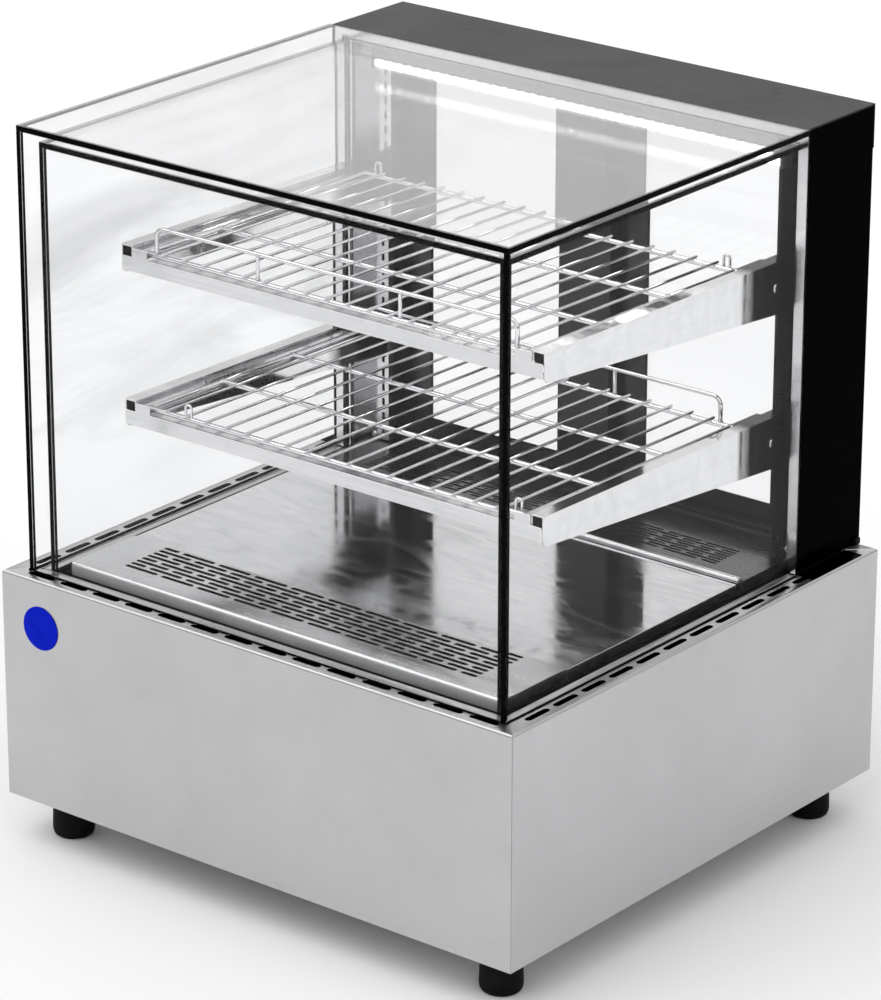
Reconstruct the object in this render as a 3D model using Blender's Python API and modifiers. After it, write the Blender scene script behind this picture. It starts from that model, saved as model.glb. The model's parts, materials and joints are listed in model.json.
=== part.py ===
"""Countertop hot food display case.

A stainless base on four rubber feet carries a square double-glazed cabinet
and a slim rear tower with two sliding doors.  Inside are two wire racks on
cantilever arms hooked into slotted pilasters, and a lift-out deck over a
heated air pan with a circulating fan.

Working coordinates are millimetres: x to the right, y back from the front
face of the base, z up from the bottom edge of the base panels.  Every mesh is
written in metres with its frame origin on the floor, under the middle of the
whole object from the badge's face to the faces of the thermostat keys.
"""

import math

import bmesh
import bpy
from mathutils import Matrix, Vector

MM = 0.001

# -------------------------------------------------------- shared dimensions
WIDTH = 600.0            # base width
DEPTH = 555.0            # base depth
BASE_H = 226.0           # height of the base panels
FOOT_H = 44.0            # floor to bottom edge of the panels
SHEET = 1.5              # thickness of the base panels and the air pan
THIN = 1.2               # thickness of decks, covers, pilasters and ledges
GAP = 0.3                # clearance between separate pieces
FIT = 0.4                # looser clearance, for parts that slip into others

OUT_TOP = 654.0          # top of the outer glass
TOWER_Y = 452.0          # front of the rear tower

BADGE_FACE = -1.2        # front-most face
KEY_FACE = 562.4         # rear-most face
Y_MID = (BADGE_FACE + KEY_FACE) / 2.0

SIDES = (("left", -1), ("right", 1))   # name, sign of x


# -------------------------------------------------------- scene and materials
for old in list(bpy.data.objects):
    bpy.data.objects.remove(old, do_unlink=True)

scene = bpy.context.scene
parts = bpy.data.collections.new("hot_food_display_case")
cutters = bpy.data.collections.new("cutters")
scene.collection.children.link(parts)
scene.collection.children.link(cutters)

LOOKS = {
    "brushed": dict(colour=(0.62, 0.62, 0.63), roughness=0.32, metallic=1.0),
    "polished": dict(colour=(0.70, 0.70, 0.71), roughness=0.12, metallic=1.0),
    "chrome": dict(colour=(0.80, 0.80, 0.82), roughness=0.08, metallic=1.0),
    "black": dict(colour=(0.006, 0.006, 0.007), roughness=0.12),
    "grey_top": dict(colour=(0.10, 0.10, 0.10), roughness=0.45),
    "rubber": dict(colour=(0.012, 0.012, 0.012), roughness=0.7),
    "plastic": dict(colour=(0.02, 0.02, 0.022), roughness=0.4),
    "aluminium": dict(colour=(0.55, 0.56, 0.57), roughness=0.4, metallic=1.0),
    "white": dict(colour=(0.85, 0.85, 0.83), roughness=0.5),
    "blue": dict(colour=(0.01, 0.12, 0.62), roughness=0.3),
    "green": dict(colour=(0.02, 0.35, 0.10), roughness=0.3),
    "heater": dict(colour=(0.30, 0.26, 0.22), roughness=0.5, metallic=1.0),
    "glass": dict(colour=(0.93, 0.97, 0.96), roughness=0.02, alpha=0.35, transmission=1.0),
}


def material(name, colour, roughness, metallic=0.0, alpha=1.0, transmission=0.0):
    mat = bpy.data.materials.new(name)
    mat.use_nodes = True
    inputs = mat.node_tree.nodes["Principled BSDF"].inputs
    inputs["Base Color"].default_value = (*colour, 1.0)
    inputs["Roughness"].default_value = roughness
    inputs["Metallic"].default_value = metallic
    inputs["Alpha"].default_value = alpha
    inputs["Transmission Weight"].default_value = transmission
    mat.diffuse_color = (*colour, alpha)
    return mat


# ------------------------------------------------------------ objects, booleans
def world(x, y, z):
    """Working millimetres to metres in the object's frame."""
    return Vector((x, y - Y_MID, z + FOOT_H)) * MM


def register(name, mesh, look):
    """Add a visible piece with its own material."""
    mesh.name = name
    obj = bpy.data.objects.new(name, mesh)
    parts.objects.link(obj)
    mesh.materials.append(material(name + "_mat", **LOOKS[look]))
    return obj


def add_boolean(obj, mesh, operation, suffix):
    """Combine a piece with a hidden helper object made from the mesh."""
    tool = bpy.data.objects.new(obj.name + suffix, mesh)
    cutters.objects.link(tool)
    tool.hide_render = True
    tool.display_type = 'WIRE'
    mod = obj.modifiers.new(operation.lower(), 'BOOLEAN')
    mod.operation = operation
    mod.solver = 'EXACT'
    mod.object = tool


def cut(obj, mesh):
    add_boolean(obj, mesh, 'DIFFERENCE', "_cut")


def fuse(obj, mesh):
    add_boolean(obj, mesh, 'UNION', "_add")


def set_origin(obj, x, y, z):
    """Put the origin at a point without moving the shape."""
    origin = world(x, y, z)
    obj.data.transform(Matrix.Translation(-origin))
    obj.location = origin


# -------------------------------------------------------------------- meshes
def finish(work, name):
    """Turn a bmesh into a new mesh block."""
    mesh = bpy.data.meshes.new(name)
    work.to_mesh(mesh)
    work.free()
    return mesh


def box_mesh(x, y, z):
    """Box between (low, high) pairs."""
    work = bmesh.new()
    bmesh.ops.create_cube(work, size=1.0)
    low, high = world(x[0], y[0], z[0]), world(x[1], y[1], z[1])
    bmesh.ops.scale(work, vec=high - low, verts=work.verts)
    bmesh.ops.translate(work, vec=(low + high) / 2.0, verts=work.verts)
    return finish(work, "box")


def bake(curve, matrix):
    """Closed mesh from a curve placed by a matrix."""
    obj = bpy.data.objects.new(curve.name, curve)
    scene.collection.objects.link(obj)
    obj.matrix_world = matrix
    depsgraph = bpy.context.evaluated_depsgraph_get()
    mesh = bpy.data.meshes.new_from_object(obj.evaluated_get(depsgraph))
    mesh.transform(obj.matrix_world)
    bpy.data.objects.remove(obj, do_unlink=True)
    work = bmesh.new()
    work.from_mesh(mesh)
    bmesh.ops.remove_doubles(work, verts=work.verts, dist=1e-6)
    bmesh.ops.recalc_face_normals(work, faces=work.faces)
    work.to_mesh(mesh)
    work.free()
    return mesh


AXES = {
    "X": Matrix(((0, 0, 1), (1, 0, 0), (0, 1, 0))),
    "Y": Matrix(((1, 0, 0), (0, 0, -1), (0, 1, 0))),
    "Z": Matrix(((1, 0, 0), (0, 1, 0), (0, 0, 1))),
}


def outline_mesh(loops, axis, low, high):
    """Flat outline with holes, thickened from low to high along an axis.

    The loops' coordinates are (y, z) for axis X, (x, z) for axis Y and (x, y)
    for axis Z.
    """
    curve = bpy.data.curves.new("outline", 'CURVE')
    curve.dimensions = '2D'
    curve.fill_mode = 'BOTH'
    curve.extrude = (high - low) / 2.0 * MM
    for loop in loops:
        spline = curve.splines.new('POLY')
        spline.points.add(len(loop) - 1)
        for point, (across, up) in zip(spline.points, loop):
            point.co = (across * MM, up * MM, 0.0, 1.0)
        spline.use_cyclic_u = True
    middle = (low + high) / 2.0
    centre = {"X": (middle, 0, 0), "Y": (0, middle, 0), "Z": (0, 0, middle)}[axis]
    return bake(curve, Matrix.Translation(world(*centre)) @ AXES[axis].to_4x4())


def tube_mesh(points, radius, resolution=1):
    """Round wire along a path of (x, y, z) points."""
    curve = bpy.data.curves.new("tube", 'CURVE')
    curve.dimensions = '3D'
    curve.bevel_depth = radius * MM
    curve.bevel_resolution = resolution
    curve.use_fill_caps = True
    spline = curve.splines.new('POLY')
    spline.points.add(len(points) - 1)
    for point, place in zip(spline.points, points):
        point.co = (*world(*place), 1.0)
    return bake(curve, Matrix())


def gather(meshes):
    """Several separate closed meshes in one mesh block."""
    work = bmesh.new()
    for mesh in meshes:
        work.from_mesh(mesh)
    return finish(work, "gathered")


def punches(loops, axis, face):
    """One cutter per loop, reaching through the sheet whose outer face is given."""
    return [outline_mesh([loop], axis, face - 4.0, face + 2.0) for loop in loops]


def box(name, x, y, z, look):
    return register(name, box_mesh(x, y, z), look)


def outline(name, loops, axis, low, high, look):
    return register(name, outline_mesh(loops, axis, low, high), look)


# ------------------------------------------------------------ outlines, paths
def span(middle, half):
    return middle - half, middle + half


def side_span(side, inner, outer):
    """(low, high) x of something between two distances from the centre plane."""
    return sorted((side * inner, side * outer))


def rect(across, up):
    return [(across[0], up[0]), (across[1], up[0]), (across[1], up[1]), (across[0], up[1])]


def slot(across, up, length, width, upright=False, steps=2):
    """Slot with round ends, centred on (across, up)."""
    radius = width / 2.0
    half = length / 2.0 - radius
    loop = []
    for end in (1, -1):
        for i in range(steps + 1):
            angle = -math.pi / 2 + math.pi * i / steps
            along = end * (half + radius * math.cos(angle))
            aside = end * radius * math.sin(angle)
            loop.append((across - aside, up + along) if upright
                        else (across + along, up + aside))
    return loop


def arc(across, up, radius, start, end, steps):
    """Points of an arc between two angles in degrees."""
    angles = [math.radians(start + (end - start) * i / steps) for i in range(steps + 1)]
    return [(across + radius * math.cos(angle), up + radius * math.sin(angle))
            for angle in angles]


def circle(across, up, radius, count, phase=0.0):
    angles = [2 * math.pi * i / count + phase for i in range(count)]
    return [(across + radius * math.cos(angle), up + radius * math.sin(angle))
            for angle in angles]


def u_shape(outer_x, outer_end, inner_x, inner_end, open_end):
    """U-shaped band, symmetrical in x, with its two legs ending at open_end."""
    return [(-outer_x, open_end), (-outer_x, outer_end), (outer_x, outer_end),
            (outer_x, open_end), (inner_x, open_end), (inner_x, inner_end),
            (-inner_x, inner_end), (-inner_x, open_end)]


def on_side(loop, side):
    """A loop drawn for the right side, mirrored if it is wanted on the left."""
    return loop if side > 0 else [(-across, up) for across, up in reversed(loop)]


def rounded_path(points, radius, steps=3):
    """Straight runs joined by quarter-circle bends."""
    path = [points[0]]
    for before, corner, after in zip(points, points[1:], points[2:]):
        before, corner, after = Vector(before), Vector(corner), Vector(after)
        back = (before - corner).normalized()
        ahead = (after - corner).normalized()
        centre = corner + (back + ahead) * radius
        for i in range(steps + 1):
            angle = math.pi / 2 * i / steps
            path.append(tuple(centre - ahead * radius * math.cos(angle)
                              - back * radius * math.sin(angle)))
    path.append(points[-1])
    return path


def hoop(x, y, z, radius, steps=3):
    """Upside-down U of wire between two x and two z values."""
    corners = [(x[0], y, z[0]), (x[0], y, z[1]), (x[1], y, z[1]), (x[1], y, z[0])]
    return rounded_path(corners, radius, steps)


# ---------------------------------------------------------------- base panels
BEND_R = 2.5             # outside bend radius of the rim
RIM_W = 26.5             # width of the rim flange
RIM_LIP = 6.0            # depth of the lip folded down from the rim
SEAM = 0.15              # half gap of a mitred seam

RIM_SLOT_PITCH = 40.0
RIM_SLOT = (32.0, 6.6)   # length, width
RIM_SLOT_IN = 12.0       # slot row from the outer face
FRONT_SLOTS = 14
SIDE_SLOTS = 12
SIDE_SLOT_START = 50.0

LOUVRE_XS = (40.0, 130.0)
LOUVRE_ROWS, LOUVRE_Z, LOUVRE_PITCH = 8, 60.0, 14.0
LOUVRE = (66.0, 5.0)     # length, width
CONTROL_X = (-235.0, -45.0)
CONTROL_Z = (124.0, 192.0)
CONTROL_LAP = (7.0, 8.0)           # control plate over its cut-out, in x and z
INLET_X, INLET_Z = 215.0, 60.0
INLET_HOLE = (14.5, 10.5)          # half width, half height

VENT_XS = (-150.0, -50.0, 50.0, 150.0)
VENT_YS = (150.0, 165.0, 335.0, 350.0)
VENT = (70.0, 6.0)       # length, width


def rim_profile():
    """Panel section: (distance in from the outer face, height)."""
    bend_z = BASE_H - BEND_R
    return ([(0.0, 0.0)] + arc(BEND_R, bend_z, BEND_R, 180, 90, 4)
            + [(RIM_W, BASE_H), (RIM_W, BASE_H - RIM_LIP),
               (RIM_W - SHEET, BASE_H - RIM_LIP), (RIM_W - SHEET, BASE_H - SHEET)]
            + arc(BEND_R, bend_z, BEND_R - SHEET, 90, 180, 3) + [(SHEET, 0.0)])


def mitre(mesh, along):
    """Cut both ends of a rim panel at 45 degrees in plan."""
    for vert in mesh.vertices:
        x = vert.co.x / MM
        y = vert.co.y / MM + Y_MID
        if along == "X":
            inward = min(y, DEPTH - y)
            vert.co.x = math.copysign(WIDTH / 2.0 - inward - SEAM, x) * MM
        else:
            near = WIDTH / 2.0 - abs(x) + SEAM
            y = near if y < DEPTH / 2.0 else DEPTH - near
            vert.co.y = (y - Y_MID) * MM


def cross_panel(name, profile):
    mesh = outline_mesh([profile], "X", -WIDTH / 2.0, WIDTH / 2.0)
    mitre(mesh, "X")
    return register(name, mesh, "brushed")


def front_panel():
    panel = cross_panel("base_front_panel", rim_profile())
    first = -RIM_SLOT_PITCH * (FRONT_SLOTS - 1) / 2.0
    loops = [slot(first + RIM_SLOT_PITCH * i, RIM_SLOT_IN, *RIM_SLOT, steps=4)
             for i in range(FRONT_SLOTS)]
    cut(panel, gather(punches(loops, "Z", BASE_H)))


def side_panel(name, side):
    profile = [(side * (WIDTH / 2.0 - inward), z) for inward, z in rim_profile()]
    mesh = outline_mesh([profile], "Y", 0.0, DEPTH)
    mitre(mesh, "Y")
    panel = register(name, mesh, "brushed")
    loops = [slot(side * (WIDTH / 2.0 - RIM_SLOT_IN), SIDE_SLOT_START + RIM_SLOT_PITCH * i,
                  *RIM_SLOT, upright=True, steps=4) for i in range(SIDE_SLOTS)]
    cut(panel, gather(punches(loops, "Z", BASE_H)))


def rear_panel():
    """Two banks of louvre slots, the control cut-out and the inlet's hole."""
    panel = cross_panel("base_rear_panel", [(DEPTH - inward, z) for inward, z in rim_profile()])
    louvres = [slot(x, LOUVRE_Z + LOUVRE_PITCH * row, *LOUVRE)
               for row in range(LOUVRE_ROWS) for x in LOUVRE_XS]
    through = (DEPTH - 4.0, DEPTH + 2.0)
    lap_x, lap_z = CONTROL_LAP
    openings = [box_mesh((CONTROL_X[0] + lap_x, CONTROL_X[1] - lap_x), through,
                         (CONTROL_Z[0] + lap_z, CONTROL_Z[1] - lap_z)),
                box_mesh(span(INLET_X, INLET_HOLE[0]), through, span(INLET_Z, INLET_HOLE[1]))]
    cut(panel, gather(punches(louvres, "Y", DEPTH) + openings))


def bottom_plate():
    inset = SHEET + FIT
    edge = rect(span(0.0, WIDTH / 2.0 - inset), (inset, DEPTH - inset))
    vents = [slot(x, y, *VENT) for x in VENT_XS for y in VENT_YS]
    outline("base_bottom_plate", [edge] + vents, "Z", 0.0, SHEET, "brushed")


# ----------------------------------------------------------------------- feet
FOOT_X = WIDTH / 2.0 - 43.0        # foot centres from the centre plane
FOOT_YS = {"front": 42.0, "rear": 516.0}

# (radius, height), from the top centre down to the floor
FOOT_PROFILE = [
    (0.0, -GAP), (17.5, -GAP), (18.5, -1.5), (19.3, -9.0), (20.0, -34.0),
    (19.6, -40.0), (17.6, -43.2), (15.5, -FOOT_H), (0.0, -FOOT_H),
]


def foot(name, x, y):
    """Turned rubber foot, its outline spun round the vertical axis."""
    work = bmesh.new()
    verts = [work.verts.new(Vector((radius, 0.0, z + FOOT_H)) * MM)
             for radius, z in FOOT_PROFILE]
    for pair in zip(verts, verts[1:]):
        work.edges.new(pair)
    obj = register(name, finish(work, name), "rubber")
    obj.location = (x * MM, (y - Y_MID) * MM, 0.0)
    screw = obj.modifiers.new("turned", 'SCREW')
    screw.axis = 'Z'
    screw.steps = 20
    screw.render_steps = 20
    screw.use_merge_vertices = True
    screw.merge_threshold = 0.00001


# -------------------------------------------------------------- glass cabinet
GLASS_T = 5.0            # every pane
OUT_X = 279.5            # half width of the outer glass
OUT_Y = 16.4
OUT_BACK = 451.7
IN_X = 265.0             # half width of the inner glass
IN_Y = 32.4
IN_BACK = 456.6
IN_TOP = 638.0
IN_BOTTOM = 204.7

CHANNEL_X = 272.6        # outer edges of the rubber channel and the pan flange
CHANNEL_Y = 27.4
CHANNEL_BACK = 451.0
CHANNEL_IN = (251.4, 46.4)         # inner edges: x, y
CHANNEL_Z = (202.0, 214.0)


def inner_channel():
    """Rubber channel under the three upright inner panes."""
    band = u_shape(CHANNEL_X, CHANNEL_Y, *CHANNEL_IN, CHANNEL_BACK)
    channel = outline("inner_glass_channel", [band], "Z", *CHANNEL_Z, "rubber")
    groove = u_shape(IN_X + FIT, IN_Y - FIT, IN_X - GLASS_T - FIT, IN_Y + GLASS_T + FIT, 470.0)
    cut(channel, outline_mesh([groove], "Z", IN_BOTTOM - FIT, 220.0))


def glass_shell(layer, half, front, back, bottom, top):
    """Two sides, a front between them and a top resting over all three."""
    inner = half - GLASS_T
    upright = (bottom, top - GLASS_T - GAP)
    name = layer + "_glass_"
    box(name + "left", (-half, -inner), (front, back), upright, "glass")
    box(name + "right", (inner, half), (front, back), upright, "glass")
    box(name + "front", span(0.0, inner - GAP), (front, front + GLASS_T), upright, "glass")
    box(name + "top", span(0.0, half), (front, back), (top - GLASS_T, top), "glass")


# ----------------------------------------------------------------- deck trays
DECK_X = 250.8
DECK_BOTTOM = 220.3
DECK_TOP = 231.5
DECK_FRONT = 47.0
DECK_BEND = 3.5          # rounded front edge of the front tray
FRONT_DECK_TOP = 233.0
FRONT_DECK_BACK = 133.0
MID_BACK = 388.0
REAR_DECK_BACK = 492.0
LIP_Y = 393.6            # centre of the rear tray's rolled lip
LIP_R = 4.4
LIP_RISE = 0.8           # lip centre above the deck

GRILLE_X = 207.0         # half length of a row of grille slots
GRILLE_ROWS = 8
GRILLE_LONG = 9          # long slots in a row
GRILLE_PITCH = 44.0
GRILLE_SLOT = 39.0
GRILLE_SHORT = 18.0
FRONT_GRILLE = dict(first=73.5, last=127.0, width=4.6, steps=3)
REAR_GRILLE = dict(first=418.0, last=455.0, width=3.3, steps=2)


def cut_grille(obj, top, first, last, width, steps):
    """Staggered rows of slots; each row has one short slot at one end."""
    loops = []
    for row in range(GRILLE_ROWS):
        y = first + (last - first) * row / (GRILLE_ROWS - 1)
        short = GRILLE_X - GRILLE_SHORT / 2.0
        start = -GRILLE_X
        if row % 2:
            start += GRILLE_SHORT + GRILLE_PITCH - GRILLE_SLOT
            short = -short
        for i in range(GRILLE_LONG):
            centre = start + GRILLE_PITCH * i + GRILLE_SLOT / 2.0
            loops.append(slot(centre, y, GRILLE_SLOT, width, steps=steps))
        loops.append(slot(short, y, GRILLE_SHORT, width, steps=steps))
    cut(obj, gather(punches(loops, "Z", top)))


def tray(name, front, back, top, look, bend=0.0):
    """Pressed pan turned upside down: a top sheet with a skirt all round."""
    if bend:
        profile = ([(front, DECK_BOTTOM)] + arc(front + bend, top - bend, bend, 180, 90, 4)
                   + [(back, top), (back, DECK_BOTTOM)])
        mesh = outline_mesh([profile], "X", -DECK_X, DECK_X)
    else:
        mesh = box_mesh(span(0.0, DECK_X), (front, back), (DECK_BOTTOM, top))
    obj = register(name, mesh, look)
    # The hollow stands back a little so that it clears the rounded edge.
    cut(obj, box_mesh(span(0.0, DECK_X - THIN), (front + THIN + bend * 0.35, back - THIN),
                      (DECK_BOTTOM - 5.0, top - THIN)))
    return obj


def deck():
    front = tray("deck_front_grille", DECK_FRONT, FRONT_DECK_BACK, FRONT_DECK_TOP,
                 "brushed", DECK_BEND)
    cut_grille(front, FRONT_DECK_TOP, **FRONT_GRILLE)

    plate = tray("deck_plate", FRONT_DECK_BACK + FIT, MID_BACK, DECK_TOP, "polished")
    set_origin(plate, 0.0, (FRONT_DECK_BACK + MID_BACK) / 2.0, DECK_BOTTOM)

    rear = tray("deck_rear_grille", LIP_Y, REAR_DECK_BACK, DECK_TOP, "brushed")
    lip = circle(LIP_Y, DECK_TOP + LIP_RISE, LIP_R, 12, phase=0.13)
    fuse(rear, outline_mesh([lip], "X", -DECK_X, DECK_X))
    cut_grille(rear, DECK_TOP, **REAR_GRILLE)


# ------------------------------------------------- air pan, heater and fan
PAN_X = 250.6
PAN_Y = (47.2, REAR_DECK_BACK)
PAN_Z = (150.0, 219.9)
PAN_FLANGE_Z = (199.8, 201.4)

HEATER_X, HEATER_Z = 195.0, 188.0
HEATER_YS = (90.0, 130.0, 390.0, 425.0)
HEATER_BEND = 14.0
HEATER_R = 4.0

FAN_Y = 250.0
FAN_Z = (124.5, 149.4)
FAN_HALF = 59.5          # half side of the square housing
FAN_BORE = 55.0
PAN_HOLE_R = 54.0        # opening over the fan
SPIDER_ARM = 57.0        # half length of the two crossed bars
SPIDER_W = 3.0           # half width of the bars
HUB_R = 19.0
BLADES = 7
BLADE = (35.0, 30.0, 1.6)          # length, width at the tip, thickness
BLADE_ROOT = 0.45        # root width over tip width
BLADE_X = 35.0           # middle of a blade from the axis
BLADE_PITCH = 28.0       # degrees


def air_pan():
    """Deep tray whose outward flange carries the inner glass channel."""
    pan = box("air_pan", span(0.0, PAN_X), PAN_Y, PAN_Z, "brushed")
    flange = rect(span(0.0, CHANNEL_X), (CHANNEL_Y, CHANNEL_BACK))
    fuse(pan, outline_mesh([flange], "Z", *PAN_FLANGE_Z))
    cut(pan, box_mesh(span(0.0, PAN_X - SHEET), (PAN_Y[0] + SHEET, PAN_Y[1] - SHEET),
                      (PAN_Z[0] + SHEET, 225.0)))
    cut(pan, outline_mesh([circle(0.0, FAN_Y, PAN_HOLE_R, 20)], "Z", 140.0, 160.0))


def heater():
    """Serpentine element, its rows run alternately right and left."""
    corners = []
    for row, y in enumerate(HEATER_YS):
        start = HEATER_X if row % 2 else -HEATER_X
        corners += [(start, y, HEATER_Z), (-start, y, HEATER_Z)]
    register("heater_element", tube_mesh(rounded_path(corners, HEATER_BEND), HEATER_R), "heater")


def fan_housing():
    loops = [rect(span(0.0, FAN_HALF), span(FAN_Y, FAN_HALF)), circle(0.0, FAN_Y, FAN_BORE, 24)]
    housing = outline("fan_housing", loops, "Z", *FAN_Z, "plastic")
    bottom = FAN_Z[0]
    fuse(housing, box_mesh(span(0.0, SPIDER_ARM), span(FAN_Y, SPIDER_W),
                           (bottom, bottom + 2.0)))
    fuse(housing, box_mesh(span(0.0, SPIDER_W), span(FAN_Y, SPIDER_ARM),
                           (bottom, bottom + 2.2)))


def fan_blade(index, hub):
    work = bmesh.new()
    bmesh.ops.create_cube(work, size=1.0)
    bmesh.ops.scale(work, vec=Vector(BLADE) * MM, verts=work.verts)
    for vert in work.verts:
        if vert.co.x < 0:
            vert.co.y *= BLADE_ROOT
    work.transform(Matrix.Rotation(math.radians(BLADE_PITCH), 4, 'X'))
    work.transform(Matrix.Translation(Vector((BLADE_X, 0.0, 0.0)) * MM))
    work.transform(Matrix.Rotation(2 * math.pi * index / BLADES, 4, 'Z'))
    work.transform(Matrix.Translation(world(*hub)))
    return finish(work, "blade")


def fan_rotor():
    hub = (0.0, FAN_Y, (FAN_Z[0] + FAN_Z[1]) / 2.0)
    rotor = outline("fan_rotor", [circle(0.0, FAN_Y, HUB_R, 21)],
                    "Z", FAN_Z[0] + 3.0, FAN_Z[1] - 3.0, "plastic")
    set_origin(rotor, *hub)
    fuse(rotor, gather([fan_blade(i, hub) for i in range(BLADES)]))


# --------------------------------------------------------------------- tower
TOWER_X = 277.0          # half width
TOWER_REAR = 558.5       # the tower overhangs the base a little
COVER_RETURN = 14.0      # width of a side cover's inturned rear edge
TOP_LIP_Z = 612.0        # bottom of the top cover's rear lip

# Bands of the front trim: outer x, outer top, inner x, inner top
TRIM_OUTER = (275.2, 652.3, 265.6, 642.6)
TRIM_INNER = (272.0, 649.0, 257.6, 632.0)
TRIM_JOIN_Y = (457.2, 459.0)       # depths shared by both bands
TRIM_BACK = 461.0

PILASTER_X = (226.0, 257.2)
PILASTER_Y = (461.4, 478.0)        # front edge, front of the slotted face
PILASTER_LIP_BACK = 486.0
PILASTER_Z = (233.4, 631.4)
HOOK_X = 232.7           # centre of the slots and of the arms' hooks
HOOK_SLOTS, HOOK_SLOT_Z, HOOK_PITCH = 26, 243.0, 15.0
HOOK_SLOT_HALF = (1.6, 3.75)       # half width, half height

TRACK_X = 274.6
# Track sections: (y, z)
LOWER_TRACK = [
    (497.0, 226.5), (531.0, 226.5), (531.0, 235.6), (524.6, 235.6), (524.6, 229.2),
    (515.4, 229.2), (515.4, 235.6), (510.6, 235.6), (510.6, 229.2), (501.4, 229.2),
    (501.4, 235.6), (497.0, 235.6),
]
UPPER_TRACK = [          # also forms the tower's ceiling
    (461.5, 641.0), (461.5, 639.6), (497.0, 639.6), (497.0, 634.0), (501.4, 634.0),
    (501.4, 647.5), (510.6, 647.5), (510.6, 634.0), (515.4, 634.0), (515.4, 647.5),
    (524.6, 647.5), (524.6, 634.0), (531.0, 634.0), (531.0, 652.0), (496.0, 652.0),
    (496.0, 641.0),
]

# Cabinet light under the ceiling: housing section (y, z) and half lengths
LED_HOUSING = [(461.5, 631.5), (461.5, 619.0), (464.0, 616.0), (475.0, 616.0),
               (477.5, 619.0), (477.5, 631.5)]
LED_HOUSING_X = 237.0
LED_DIFFUSER_X = 234.0


def tower_covers():
    back = TOWER_REAR - THIN - GAP
    inner = TOWER_X - COVER_RETURN
    plan = [(TOWER_X, TOWER_Y), (TOWER_X, back), (inner, back), (inner, back - THIN),
            (TOWER_X - THIN, back - THIN), (TOWER_X - THIN, TOWER_Y)]
    for word, side in SIDES:
        outline(f"tower_{word}_cover", [on_side(plan, side)],
                "Z", BASE_H + GAP, OUT_TOP - THIN - GAP, "black")
    inside = TOWER_REAR - THIN
    profile = [(TOWER_Y, OUT_TOP), (TOWER_REAR, OUT_TOP), (TOWER_REAR, TOP_LIP_Z),
               (inside, TOP_LIP_Z), (inside, OUT_TOP - THIN), (TOWER_Y, OUT_TOP - THIN)]
    outline("tower_top_cover", [profile], "X", -TOWER_X, TOWER_X, "grey_top")


def front_trim():
    """Stainless portal round the cabinet's opening.

    The outer band is level with the glass; the inner one is set back to seat
    the inner panes.  The deck runs through between its legs.
    """
    trim = outline("tower_front_trim", [u_shape(*TRIM_OUTER, BASE_H + 0.4)],
                   "Y", TOWER_Y + GAP, TRIM_JOIN_Y[1], "brushed")
    fuse(trim, outline_mesh([u_shape(*TRIM_INNER, BASE_H + 0.8)],
                            "Y", TRIM_JOIN_Y[0], TRIM_BACK))


def pilaster(name, side):
    """Slotted upright that the shelf arms hook into."""
    inner, outer = PILASTER_X
    front, face = PILASTER_Y
    plan = [(outer, front), (outer, face + THIN), (inner + THIN, face + THIN),
            (inner + THIN, PILASTER_LIP_BACK), (inner, PILASTER_LIP_BACK), (inner, face),
            (outer - THIN, face), (outer - THIN, front)]
    post = outline(name, [on_side(plan, side)], "Z", *PILASTER_Z, "brushed")
    half_x, half_z = HOOK_SLOT_HALF
    x = side_span(side, HOOK_X - half_x, HOOK_X + half_x)
    cut(post, gather([box_mesh(x, (face - 2.0, face + 4.0),
                               span(HOOK_SLOT_Z + HOOK_PITCH * i, half_z))
                      for i in range(HOOK_SLOTS)]))


def door_tracks():
    outline("door_track_lower", [LOWER_TRACK], "X", -TRACK_X, TRACK_X, "aluminium")
    outline("door_track_upper", [UPPER_TRACK], "X", -TRACK_X, TRACK_X, "aluminium")


def cabinet_light():
    outline("led_housing", [LED_HOUSING], "X", -LED_HOUSING_X, LED_HOUSING_X, "aluminium")
    section = [(463.0, 615.7)] + arc(469.5, 614.5, 6.5, 185, 355, 6) + [(476.0, 615.7)]
    outline("led_diffuser", [section], "X", -LED_DIFFUSER_X, LED_DIFFUSER_X, "white")


# --------------------------------------------------------------------- doors
DOOR_W = 268.0
DOOR_T = 8.0
DOOR_Z = (229.8, 640.2)
DOOR_STILE = 60.0
DOOR_RAIL = 22.0         # top rail
BOTTOM_RAIL = DOOR_RAIL + 6.0
REBATE = 5.0             # the pane's recess beyond the opening
DOOR_PLACES = {"left": (-251.0, 502.0), "right": (-10.0, 516.0)}   # left edge, front face

HANDLE_IN = 28.0         # handle centre from the door's outer edge
HANDLE_Z = 440.0
HANDLE = (110.0, 24.0)             # length, width
HANDLE_HOLLOW = (98.0, 14.0)


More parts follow.
